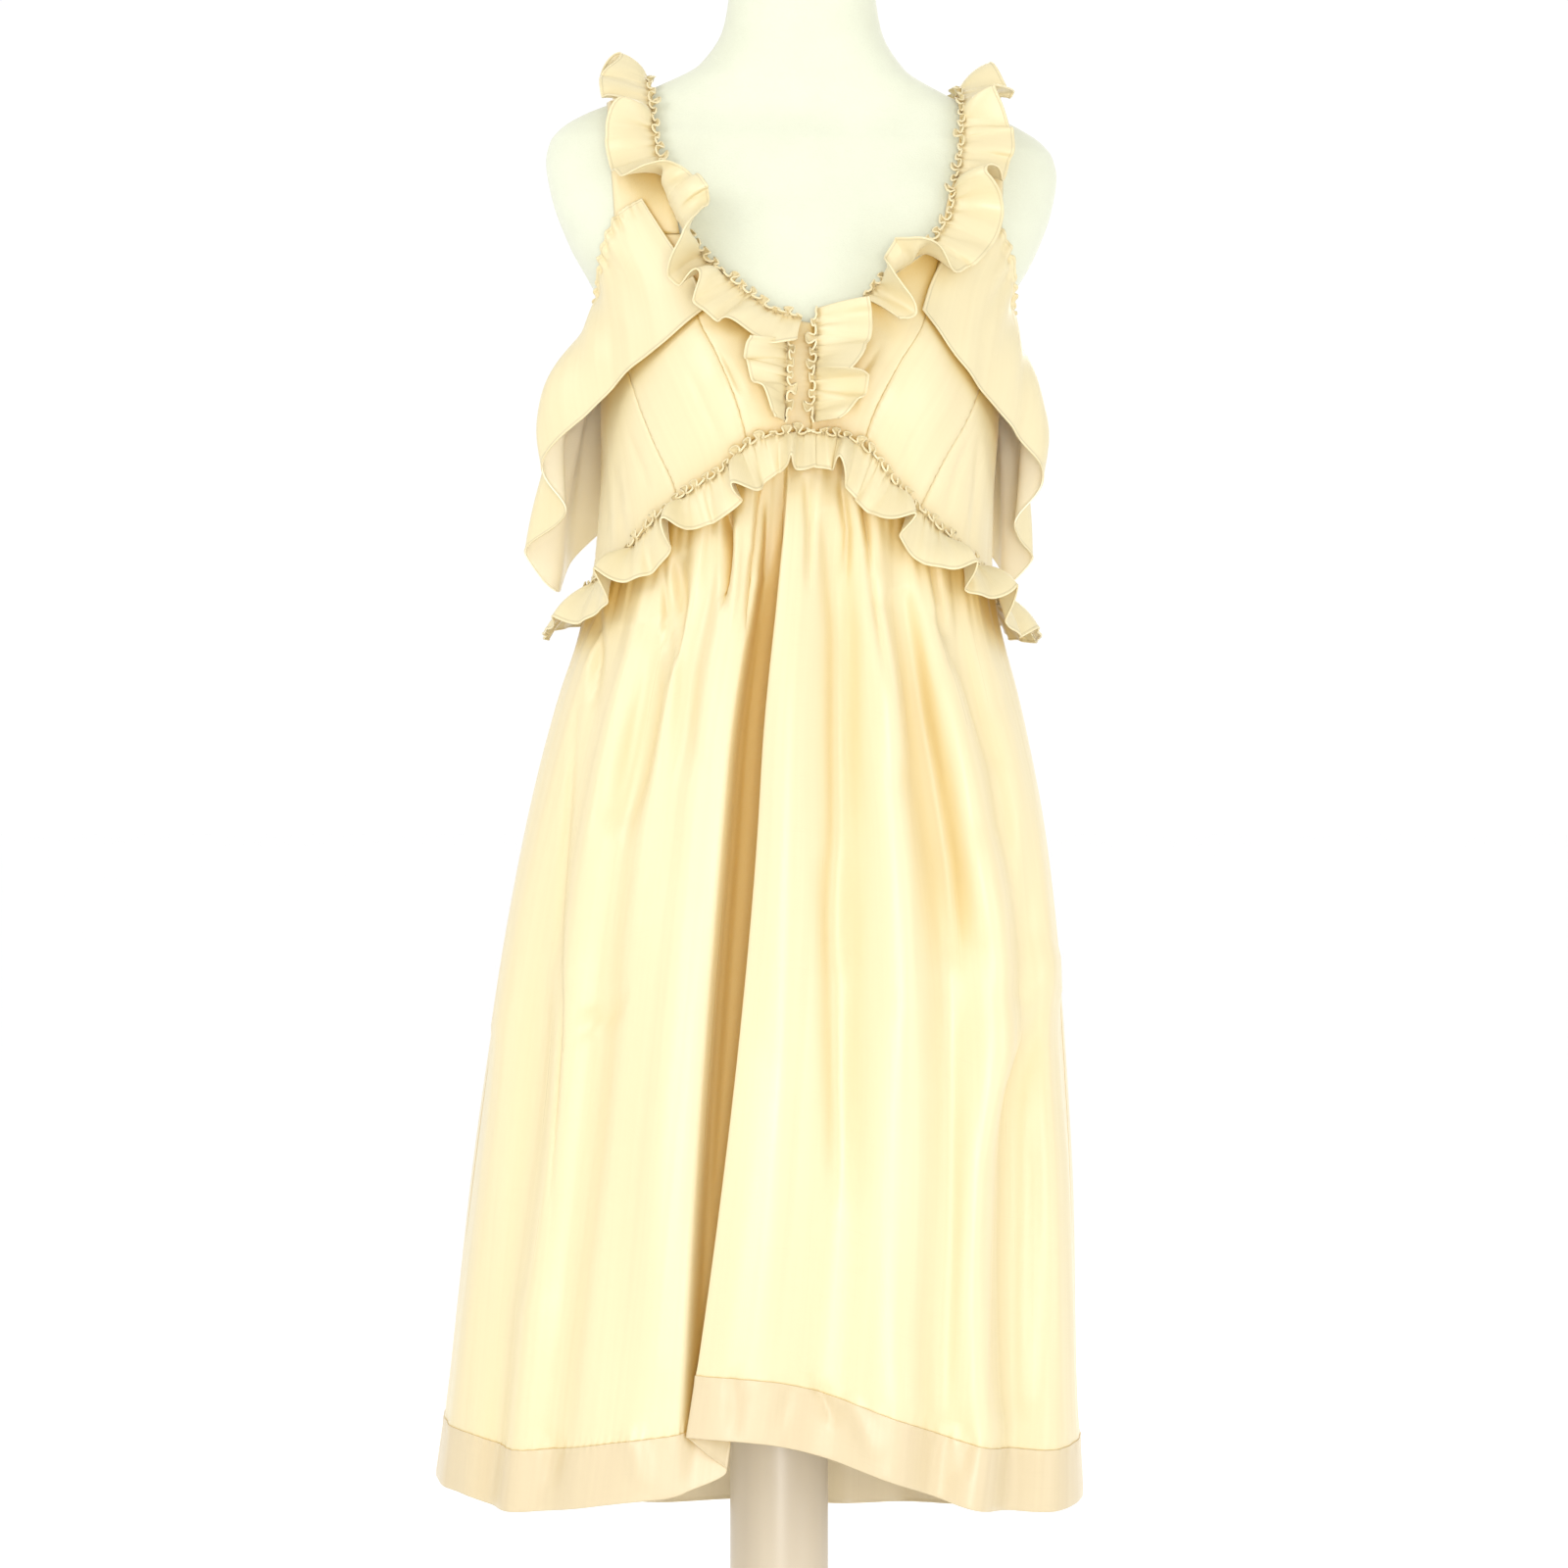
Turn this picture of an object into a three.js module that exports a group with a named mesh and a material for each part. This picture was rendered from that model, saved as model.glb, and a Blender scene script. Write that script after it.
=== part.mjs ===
// A sleeveless empire-line dress in cream silk, worn by a limbless dress form on a column stand.
// Millimetres, +Z up, the dress's front towards -Y. The origin is on the floor, under the column.
// Every piece that a maker would cut is one thin closed wall; folds come from the short tables below.
import * as THREE from "three";

const CLOTH = 1.5; // thickness of a cloth wall
const HALF = CLOTH / 2;
const SEAM_GAP = 0.3; // between two pieces that a seam joins
const WAIST_GAP = 1.2; // the same under the bust, where the ruffle covers it
const LAYER_GAP = 0.8; // between a piece and the one that lies on it
const ROUNDNESS = 2.3; // exponent of the rings: 2 is an ellipse, more is squarer
const BUST = { out: 14, x: 74, wide: 44, z: 1168, tall: 48 };
const LEANING = { tilt: 0.022, tiltFrom: 1000, tiltTo: 1250, turn: 4, turnFrom: 900, turnTo: 1100 };

const HEM_BAND = 43; // depth of the band round the hem
const STRAP = { frontBase: 1291, backBase: 1300, inner: 111, outer: 143, baseInner: 93, baseOuter: 138 };
const UNDERARM = 1195;
const NECK_RUFFLE = { width: 35, header: 7 };
const CENTRE_RUFFLE = { width: 37, header: 5, fromCentre: 7.5 };
const WAIST_RUFFLE = { width: 32, header: 6 };
const FLOUNCE_LIFT = CLOTH + LAYER_GAP + 0.4; // from the bodice to the flounce, middle to middle
const RUFFLE_LIFT = CLOTH + 0.75;

const COLUMN = { radius: 36, top: 699.7 };
const BASE = { radius: 185, edge: 8, height: 14 };

const SILK = { color: 0xf2e2b8, roughness: 0.45, metalness: 0, side: THREE.DoubleSide };
const BAND = { color: 0xecd8a8, roughness: 0.5, metalness: 0, side: THREE.DoubleSide };
const FORM_COVER = { color: 0xf4f4ea, roughness: 0.7, metalness: 0 };
const STAND = { color: 0xe6dcc8, roughness: 0.4, metalness: 0 };

const vec = (x, y, z) => new THREE.Vector3(x, y, z);
const radians = THREE.MathUtils.degToRad;
const mix = THREE.MathUtils.lerp;
const ease = (value, from, to) => THREE.MathUtils.smoothstep(value, from, to);
const signedPower = (value, power) => Math.sign(value) * Math.abs(value) ** power;

// A curve through a table's rows, by its first column, that never swings past a row's value.
function table(columns, rows) {
  const keys = rows.map((row) => row[0]);
  const last = rows.length - 1;
  return (name, at) => {
    const c = columns.indexOf(name);
    const secant = (k) => (rows[k + 1][c] - rows[k][c]) / (keys[k + 1] - keys[k]);
    const slope = (k) => {
      if (k === 0) return secant(0);
      if (k === last) return secant(last - 1);
      const [before, after] = [secant(k - 1), secant(k)];
      return before * after <= 0 ? 0 : (2 * before * after) / (before + after);
    };
    const x = THREE.MathUtils.clamp(at, keys[0], keys[last]);
    let i = 0;
    while (i < last - 1 && x > keys[i + 1]) i += 1;
    const h = keys[i + 1] - keys[i];
    const s = (x - keys[i]) / h;
    const rise = rows[i + 1][c] - rows[i][c];
    const blend = s * s * (3 - 2 * s);
    return rows[i][c] + rise * blend + h * s * (1 - s) * ((1 - s) * slope(i) - s * slope(i + 1));
  };
}

// A table whose rows are folds in order, each with a name. It is read from 0, its first row, to 1, its last.
function foldTable(columns, rows) {
  const read = table(["fold", ...columns.slice(1)], rows.map((row, i) => [i, ...row.slice(1)]));
  return (name, at) => read(name, at * (rows.length - 1));
}

// The rings of the dress form and of the dress: half width, and how far they reach to the front and the back.
const formRing = table(["z", "half", "front", "back"], [
  [700, 158, 96, 106],
  [720, 165, 101, 112],
  [780, 170, 104, 117],
  [860, 162, 98, 114],
  [930, 142, 88, 97],
  [1000, 120, 82, 80],
  [1060, 123, 92, 78],
  [1110, 130, 100, 82],
  [1160, 138, 110, 90],
  [1200, 142, 112, 95],
  [1240, 150, 104, 98],
  [1280, 171, 92, 97],
  [1315, 184, 78, 90],
  [1340, 188, 67, 79],
  [1354, 185, 62, 73],
  [1364, 177, 57, 66],
  [1374, 161, 53, 61],
  [1384, 137, 51, 57],
  [1396, 108, 50, 55],
  [1414, 76, 50, 56],
  [1443, 58, 49, 58],
  [1475, 53, 47, 59],
  [1492, 52, 46, 59],
]);
const dressRing = table(["z", "half", "front", "back"], [
  [300, 241, 150, 158],
  [376, 236, 149, 155],
  [428, 231, 148, 152],
  [515, 225, 147, 150],
  [601, 219, 146, 147],
  [687, 211, 143, 144],
  [774, 201, 139, 139],
  [860, 188, 134, 132],
  [947, 169, 128, 121],
  [1020, 150, 119, 106],
  [1060, 145, 115, 100],
  [1110, 144, 113, 97],
  [1160, 146, 116, 97],
  [1200, 147, 117, 99],
  [1240, 153.5, 107, 101.5],
  [1280, 173.8, 94.8, 100],
  [1315, 186.8, 80.8, 93],
  [1340, 190.8, 69.8, 82],
]);

// How far the ring's centre stands to the side, because the form leans a little on its stand.
const leanTo = table(["z", "shift"], [
  [300, -18],
  [385, -14.8],
  [471, -11],
  [600, -5.4],
  [730, 0],
  [860, 5],
  [947, 7],
  [1020, 9],
  [1140, 14.5],
  [1250, 17],
  [1492, 17],
]);

function lean(p) {
  const tilt = LEANING.tilt * ease(p.z, LEANING.tiltFrom, LEANING.tiltTo);
  const turn = radians(LEANING.turn) * ease(p.z, LEANING.turnFrom, LEANING.turnTo);
  const turned = p.clone().applyAxisAngle(vec(0, 0, 1), turn);
  return vec(turned.x + leanTo("shift", p.z), turned.y, p.z - tilt * turned.x);
}

// The angle round a ring, 0 at the centre front and 90 at the +X side, whose point lies at x.
const angleAt = (x, z, ring = dressRing) =>
  Math.sign(x) * Math.asin(Math.min(1, Math.abs(x) / ring("half", z)) ** (ROUNDNESS / 2)) / radians(1);

const bustOut = (x, z) =>
  BUST.out * Math.exp(-(((Math.abs(x) - BUST.x) / BUST.wide) ** 2) - ((z - BUST.z) / BUST.tall) ** 2);

// A point of a ring, moved out from it, before the lean.
function ringPoint(ring, angle, z, out = 0) {
  const [sin, cos] = [Math.sin(radians(angle)), Math.cos(radians(angle))];
  const half = ring("half", z);
  const deep = cos > 0 ? ring("front", z) : ring("back", z);
  const x = half * signedPower(sin, 2 / ROUNDNESS);
  const bust = cos > 0 ? bustOut(x, z) * cos : 0;
  const y = -deep * signedPower(cos, 2 / ROUNDNESS) - bust;
  const away = vec(sin / half, -cos / deep, 0).normalize();
  return vec(x, y, z).addScaledVector(away, out);
}

// The seam under the bust, an upside-down V that hangs a little lower on the +X side, and the top edge of
// the back, each by the angle round the ring.
const waistSeam = table(["angle", "left", "right"], [
  [0, 1137, 1137],
  [7, 1135, 1134],
  [14, 1129, 1124],
  [22, 1109, 1101],
  [33, 1092, 1078],
  [42, 1077, 1065],
  [49, 1063, 1056],
  [58, 1048, 1045],
  [72, 1033, 1032],
  [90, 1022, 1022],
]);
const underBust = (angle) => {
  const turned = angle > 180 ? angle - 360 : angle;
  return waistSeam(turned < 0 ? "left" : "right", Math.abs(turned));
};
const backTop = table(["fromCentre", "z"], [
  [0, 1270],
  [12, 1274],
  [24, 1286],
  [33, STRAP.backBase],
  [48, STRAP.backBase],
  [56, 1272],
  [72, 1222],
  [90, UNDERARM],
]);

// Turns a grid of points into a closed wall: an outer skin, an inner skin and the edges between them.
// surface(u, v) is the middle of the cloth, and u x v points outwards. inset gives the seam allowance left
// free at [u start, u end, v start, v end], in millimetres.
function wall(surface, { across, along, inset = [0, 0, 0, 0], lift = 0 }) {
  const step = 1e-3;
  const us = Array.isArray(across) ? across : Array.from({ length: across + 1 }, (_, i) => i / across);
  const vs = Array.isArray(along) ? along : Array.from({ length: along + 1 }, (_, i) => i / along);
  const lengthOf = (pointAt) => {
    const points = Array.from({ length: 9 }, (_, i) => pointAt(i / 8));
    return points.slice(1).reduce((sum, p, i) => sum + p.distanceTo(points[i]), 0);
  };
  const uLengths = vs.map((v) => lengthOf((s) => surface(s, v)));
  const vLengths = us.map((u) => lengthOf((s) => surface(u, s)));
  const skins = [[], []];
  us.forEach((u0, i) =>
    vs.forEach((v0, j) => {
      const u = mix(inset[0] / uLengths[j], 1 - inset[1] / uLengths[j], u0);
      const v = mix(inset[2] / vLengths[i], 1 - inset[3] / vLengths[i], v0);
      const [uLow, uHigh] = [Math.max(u - step, 0), Math.min(u + step, 1)];
      const [vLow, vHigh] = [Math.max(v - step, 0), Math.min(v + step, 1)];
      const du = surface(uHigh, v).sub(surface(uLow, v));
      const dv = surface(u, vHigh).sub(surface(u, vLow));
      const normal = du.cross(dv).normalize();
      const middle = surface(u, v);
      skins[0].push(middle.clone().addScaledVector(normal, lift + HALF));
      skins[1].push(middle.addScaledVector(normal, lift - HALF));
    }),
  );
  const count = skins[0].length;
  const at = (i, j, skin) => skin * count + i * vs.length + j;
  const faces = [];
  const points = skins.flat();
  // Each quad is cut along its shorter diagonal.
  const quad = (a, b, c, d) => {
    const acrossIt = points[a].distanceTo(points[c]) <= points[b].distanceTo(points[d]);
    faces.push(...(acrossIt ? [a, b, c, a, c, d] : [a, b, d, b, c, d]));
  };
  const [m, n] = [us.length - 1, vs.length - 1];
  for (let i = 0; i < m; i += 1) {
    for (let j = 0; j < n; j += 1) {
      quad(at(i, j, 0), at(i + 1, j, 0), at(i + 1, j + 1, 0), at(i, j + 1, 0));
      quad(at(i, j, 1), at(i, j + 1, 1), at(i + 1, j + 1, 1), at(i + 1, j, 1));
    }
    quad(at(i, 0, 1), at(i + 1, 0, 1), at(i + 1, 0, 0), at(i, 0, 0));
    quad(at(i, n, 0), at(i + 1, n, 0), at(i + 1, n, 1), at(i, n, 1));
  }
  for (let j = 0; j < n; j += 1) {
    quad(at(0, j, 0), at(0, j + 1, 0), at(0, j + 1, 1), at(0, j, 1));
    quad(at(m, j, 1), at(m, j + 1, 1), at(m, j + 1, 0), at(m, j, 0));
  }
  const geometry = new THREE.BufferGeometry();
  geometry.setAttribute("position", new THREE.Float32BufferAttribute(points.flatMap((p) => p.toArray()), 3));
  geometry.setIndex(faces);
  geometry.computeVertexNormals();
  return geometry;
}

const dress = new THREE.Group();

function add(name, geometry, finish) {
  const mesh = new THREE.Mesh(geometry, new THREE.MeshStandardMaterial(finish));
  mesh.name = name;
  dress.add(mesh);
}

// A line on the front of the dress, from points [x, z], as angle and height.
function frontLine(points) {
  const spline = new THREE.SplineCurve(points.map(([x, z]) => new THREE.Vector2(angleAt(x, z), z)));
  return (s) => spline.getPoint(s).toArray();
}

// The same, with its first point set on the seam under the bust. hand is 1 for the +X side.
function lineFromSeam(points, hand) {
  const [x, near] = points[0];
  return frontLine([[x, underBust(hand * angleAt(x, near))], ...points.slice(1)]);
}

// A stretch of the seam under the bust between two angles.
const seamLine = (hand, from, to) => (s) => {
  const angle = mix(from, to, s);
  return [angle, underBust(hand * angle)];
};

// The patch between four lines of angle and height, bent onto the dress's ring. hand is 1 for the +X side.
function panel(bottom, top, left, right, hand) {
  return (u0, v) => {
    const u = hand > 0 ? u0 : 1 - u0;
    const [angle, z] = [0, 1].map(
      (k) =>
        mix(bottom(u)[k], top(u)[k], v) +
        mix(left(v)[k], right(v)[k], u) -
        mix(mix(bottom(0)[k], bottom(1)[k], u), mix(top(0)[k], top(1)[k], u), v),
    );
    return lean(ringPoint(dressRing, hand * angle, z));
  };
}

// Lines of the front bodice, as x from the centre front and height, for the -X side and the +X side.
const STRAP_CORNER = [STRAP.baseInner, STRAP.frontBase];
const ARMHOLE = [[142, 1262], [STRAP.baseOuter, STRAP.frontBase]];
const LINES = {
  left: {
    neckline: [[0, 1213], [30, 1220], [55, 1241], [81, 1276], STRAP_CORNER],
    princess: [[44, 1128], [54, 1158], [68, 1189], [81, 1216], [89, 1255], STRAP_CORNER],
    sideFront: [[90, 1089], [96, 1104], [108, 1127], [118, 1150], [130, 1185], [143, 1222]],
  },
  right: {
    neckline: [[0, 1213], [30, 1228], [55, 1249], [80, 1271], STRAP_CORNER],
    princess: [[37, 1129], [45, 1154], [60, 1185], [78, 1216], [88, 1255], STRAP_CORNER],
    sideFront: [[80, 1080], [88, 1100], [100, 1125], [114, 1150], [128, 1185], [143, 1222]],
  },
};
const BUST_SEAM_SHARE = 0.75; // of the bust panel's outer edge, which is sewn; the rest is the armhole

function addFrontBodice(side, hand) {
  const seams = [SEAM_GAP / 2, SEAM_GAP / 2, WAIST_GAP / 2, SEAM_GAP / 2];
  const lines = LINES[side];
  const princess = lineFromSeam(lines.princess, hand);
  const sideFront = lineFromSeam(lines.sideFront, hand);
  const armhole = frontLine([lines.sideFront.at(-1), ...ARMHOLE]);
  const outer = (s) => (s < BUST_SEAM_SHARE ? sideFront(s / BUST_SEAM_SHARE)
    : armhole((s - BUST_SEAM_SHARE) / (1 - BUST_SEAM_SHARE)));
  const centre = (s) => [0, mix(underBust(0), lines.neckline[0][1], s)];
  const neck = frontLine(lines.neckline);
  const [armholeAngle, armholeZ] = sideFront(1);
  const underarm = (s) => [mix(armholeAngle, 90, s), mix(armholeZ, UNDERARM, Math.sin(s * Math.PI / 2))];
  const sideSeam = (s) => [90, mix(underBust(90), UNDERARM, s)];
  const strapBase = (s) => {
    const x = mix(STRAP.baseInner, STRAP.baseOuter, s);
    return [angleAt(x, STRAP.frontBase), STRAP.frontBase];
  };
  const princessFoot = princess(0)[0];
  const sideFrontFoot = sideFront(0)[0];
  const centreFront = panel(seamLine(hand, 0, princessFoot), neck, centre, princess, hand);
  const bust = panel(seamLine(hand, princessFoot, sideFrontFoot), strapBase, princess, outer, hand);
  const sidePanel = panel(seamLine(hand, sideFrontFoot, 90), underarm, sideFront, sideSeam, hand);
  add(`bodice_centre_${side}`, wall(centreFront, { across: 4, along: 8, inset: seams }), SILK);
  add(`bodice_bust_${side}`, wall(bust, { across: 8, along: 8, inset: seams }), SILK);
  add(`bodice_side_${side}`, wall(sidePanel, { across: 6, along: 6, inset: seams }), SILK);
}

function addBackBodice() {
  const back = (u, v) => {
    const angle = mix(90, 270, u);
    const top = backTop("z", Math.abs(180 - angle));
    return lean(ringPoint(dressRing, angle, mix(underBust(90), top, v)));
  };
  const inset = [SEAM_GAP / 2, SEAM_GAP / 2, WAIST_GAP / 2, SEAM_GAP / 2];
  add("bodice_back", wall(back, { across: 28, along: [0, 0.3, 0.55, 0.7, 0.8, 0.9, 1], inset }), SILK);
}

// The height of the form's shoulder at a distance from its middle.
function shoulderTop(x) {
  let [low, high] = [1340, 1443];
  for (let i = 0; i < 40; i += 1) {
    const z = (low + high) / 2;
    if (formRing("half", z) > x) low = z;
    else high = z;
  }
  return low;
}

// A point on the form under a strap: turn is 0 at the strap's front end and 180 at its back end.
function shoulderPoint(x, turn) {
  const base = turn < 90 ? STRAP.frontBase : STRAP.backBase;
  const z = mix(base, shoulderTop(x), Math.sin(radians(turn)));
  const share = Math.min(1, x / formRing("half", z));
  const deep = turn < 90 ? -formRing("front", z) : formRing("back", z);
  return vec(x, deep * (1 - share ** ROUNDNESS) ** (1 / ROUNDNESS), z);
}

// How far out a strap's edges lie, from its front end through the shoulder to its back end.
const strapEdges = table(["turn", "inner", "outer"], [
  [0, STRAP.baseInner, STRAP.baseOuter],
  [25, 105, 140],
  [60, STRAP.inner, STRAP.outer],
  [120, STRAP.inner, STRAP.outer],
  [180, 105, 138],
]);

const strapSurface = (hand) => (u0, v) => {
  const u = hand > 0 ? u0 : 1 - u0;
  const turn = 180 * v;
  const p = shoulderPoint(mix(strapEdges("inner", turn), strapEdges("outer", turn), u), turn);
  p.x *= hand;
  return lean(p);
};
const STRAP_LIFT = 1.3 + HALF;

function addStrap(side, hand) {
  const inset = [0, 0, SEAM_GAP / 2, SEAM_GAP / 2];
  add(`strap_${side}`, wall(strapSurface(hand), { across: 2, along: 20, inset, lift: STRAP_LIFT }), SILK);
}

// A line that a ruffle is gathered on: its points, and the way that is out from the cloth under it.
function gatherLine(points) {
  const line = new THREE.CatmullRomCurve3(points.map((p) => p.point), false, "centripetal");
  const out = new THREE.CatmullRomCurve3(points.map((p) => p.normal), false, "centripetal");
  const at = (s) => {
    const t = line.getUtoTmapping(s);
    return { point: line.getPoint(t), tangent: line.getTangent(t), normal: out.getPoint(t).normalize() };
  };
  return { at, length: line.getLength() };
}

// A point of a surface with its outward normal, where u x v points out.
function pointAndNormal(surface, u, v, lift = 0) {
  const step = 1e-3;
  const du = surface(u + step, v).sub(surface(u - step, v));
  const dv = surface(u, v + step).sub(surface(u, v - step));
  const normal = du.cross(dv).normalize();
  return { point: surface(u, v).addScaledVector(normal, lift), normal };
}
const onDress = (angle, z) => pointAndNormal((u, v) => lean(ringPoint(dressRing, angle + u, z + v)), 0, 0);

// A strip gathered near one edge. folds gives, by the distance along its line: the angle at which it stands
// from the cloth, 0 where it lies flat on it and 180 where it is turned over its own header; how far its free
// edge is pushed along the seam; and its width as a share of the strip's. fall turns it down to the floor.
function ruffle(line, folds, { width, header, hand, fall = 0, lift = RUFFLE_LIFT, across }) {
  const breadths = [-header, 0, 0.45 * width, width];
  const surface = (u0, v0) => {
    const u = hand > 0 ? u0 : 1 - u0;
    const { point, tangent, normal } = line.at(u);
    const place = u * line.length;
    const flat = tangent.clone().cross(normal).multiplyScalar(hand).lerp(vec(0, 0, -1), fall).normalize();
    const along = v0 * (breadths.length - 1);
    const k = Math.min(Math.floor(along), breadths.length - 2);
    const w = mix(breadths[k], breadths[k + 1], along - k) * (k > 0 ? folds("width", place) : 1);
    const stand = radians(k > 0 ? folds("stand", place) : 40);
    const push = k > 0 ? (folds("push", place) * w) / width : 0;
    return point
      .clone()
      .addScaledVector(flat, w * Math.cos(stand))
      .addScaledVector(normal, lift + Math.abs(w) * Math.sin(stand))
      .addScaledVector(tangent, push);
  };
  // The free edge comes first in v on a -X piece seen from outside, so v runs from the free edge to the header.
  return wall((u, v) => surface(u, 1 - v), { across, along: breadths.length - 1 });
}

const FOLD_COLUMNS = ["at", "stand", "push", "width"];
const neckFolds = {
  left: table(FOLD_COLUMNS, [
    [0, 24, 0, 0.6],
    [14, 18, 0, 0.85],
    [28, 34, 3, 0.95],
    [44, 16, 0, 1],
    [60, 26, 3, 1.05],
    [70, 62, 6, 0.8],
    [80, 30, -3, 0.95],
    [91, 24, 0, 1],
    [99, 76, 0, 0.9],
    [108, 122, 0, 0.9],
    [124, 140, 0, 1.15],
    [140, 128, 0, 1],
    [151, 80, 0, 0.95],
    [162, 34, -8, 1.05],
    [184, 22, -5, 1.1],
    [212, 26, 0, 1.05],
    [240, 30, 2, 1],
    [264, 36, 0, 0.95],
    [284, 36, 0, 1],
    [310, 66, 3, 1],
    [336, 28, 0, 1],
    [362, 64, -3, 1],
    [388, 26, 0, 1],
    [414, 60, 3, 1],
    [440, 26, 0, 1],
    [470, 58, 0, 1],
    [510, 30, 0, 1],
  ]),
  right: table(FOLD_COLUMNS, [
    [0, 28, 0, 1.1],
    [10, 24, 0, 1.2],
    [18, 60, -4, 1],
    [26, 112, 0, 0.85],
    [38, 126, 0, 0.95],
    [50, 78, 4, 0.9],
    [62, 30, 0, 1],
    [80, 24, 0, 1.1],
    [102, 28, 0, 1.15],
    [120, 64, 4, 1],
    [134, 38, -6, 1.05],
    [154, 24, 0, 1.1],
    [182, 26, 0, 1.05],
    [208, 30, 2, 1.1],
    [232, 38, 0, 1],
    [254, 34, 0, 1],
    [280, 66, -3, 1],
    [304, 28, 0, 1],
    [330, 62, 3, 1],
    [354, 26, 0, 1],
    [380, 66, -3, 1],
    [404, 28, 0, 1],
    [428, 58, 0, 1],
    [470, 30, 0, 1],
  ]),
};

// The neckline from near the centre front, up the strap's inner edge, over the shoulder and down to the back.
function neckPath(side, hand, startX) {
  const neck = table(["x", "z"], LINES[side].neckline);
  const xs = [startX, ...LINES[side].neckline.map(([x]) => x).filter((x) => x > startX + 5)].slice(0, -1);
  const onFront = xs.map((x) => onDress(hand * angleAt(x, neck("z", x)), neck("z", x)));
  const strap = strapSurface(hand);
  const innerEdge = hand > 0 ? 0.02 : 0.98;
  const onStrap = [0.04, 0.12, 0.2, 0.3, 0.4, 0.5, 0.6, 0.7, 0.8, 0.88, 0.95].map((v) =>
    pointAndNormal(strap, innerEdge, v, STRAP_LIFT),
  );
  const onBack = [28, 22, 15, 8, 1].map((c) => onDress(hand * (180 - c), backTop("z", c) - 2));
  return gatherLine([...onFront, ...onStrap, ...onBack]);
}

function addNeckRuffle(side, hand, startX) {
  const options = { ...NECK_RUFFLE, hand, across: 44 };
  add(`neck_ruffle_${side}`, ruffle(neckPath(side, hand, startX), neckFolds[side], options), SILK);
}

const centreFolds = {
  left: table(FOLD_COLUMNS, [
    [0, 52, 2, 0.55],
    [16, 24, 0, 0.9],
    [32, 42, -2, 1],
    [46, 20, 0, 1.1],
    [64, 34, 2, 0.95],
  ]),
  right: table(FOLD_COLUMNS, [
    [0, 50, 2, 0.7],
    [20, 22, 0, 1],
    [40, 50, 0, 0.9],
    [62, 20, 0, 1.05],
    [84, 40, 4, 1],
  ]),
};

// The two upright ruffles at the centre front, from the neckline down to the seam under the bust.
function addCentreRuffle(side, hand, top) {
  const bottom = underBust(0) + 8;
  const heights = [bottom, mix(bottom, top, 0.33), mix(bottom, top, 0.67), top];
  const x = CENTRE_RUFFLE.fromCentre;
  const line = gatherLine(heights.map((z) => onDress(hand * angleAt(x, z), z)));
  const options = { ...CENTRE_RUFFLE, hand, across: 14 };
  add(`centre_ruffle_${side}`, ruffle(line, centreFolds[side], options), SILK);
}

const waistFolds = {
  left: table(FOLD_COLUMNS, [
    [0, 24, 0, 0.8],
    [20, 26, 0, 0.85],
    [30, 50, 4, 0.9],
    [46, 24, 0, 0.85],
    [66, 60, 4, 1.05],
    [82, 24, 0, 1.1],
    [100, 54, -3, 1],
    [118, 20, 0, 0.95],
    [136, 62, 4, 1.1],
    [154, 26, 0, 1],
    [176, 66, -3, 1.2],
    [196, 34, 0, 1.25],
    [230, 50, 0, 1.1],
  ]),
  right: table(FOLD_COLUMNS, [
    [0, 24, 0, 0.8],
    [18, 56, -3, 0.9],
    [32, 26, 0, 1.1],
    [58, 20, 0, 1],
    [76, 60, 4, 0.9],
    [92, 24, 0, 1],
    [110, 58, -4, 1.05],
    [128, 26, 0, 1.05],
    [146, 64, 3, 1.1],
    [164, 28, 0, 1.05],
    [184, 62, 3, 1.2],
    [204, 32, 0, 1.2],
    [230, 50, 0, 1.1],
  ]),
  back: table(FOLD_COLUMNS, [
    [0, 50, 0, 1.1],
    [24, 28, 0, 1],
    [52, 58, 3, 1],
    [82, 24, 0, 1],
    [112, 54, -3, 1],
    [140, 28, 0, 1],
    [170, 60, 2, 1],
    [200, 22, 0, 1],
    [228, 52, -3, 1],
    [258, 26, 0, 1],
    [288, 60, 3, 1],
    [318, 24, 0, 1],
    [350, 55, -2, 1],
    [400, 46, 0, 1.1],
  ]),
};

// The ruffle on the seam under the bust, in three lengths that meet at the centre front and the sides.
function addWaistRuffle(side, from, to, hand, across) {
  const steps = 12;
  const line = gatherLine(
    Array.from({ length: steps + 1 }, (_, i) => {
      const angle = mix(from, to, i / steps);
      return onDress(angle, underBust(angle));
    }),
  );
  const options = { ...WAIST_RUFFLE, hand, fall: 0.45, across };
  add(`waist_ruffle_${side}`, ruffle(line, waistFolds[side], options), SILK);
}

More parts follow.
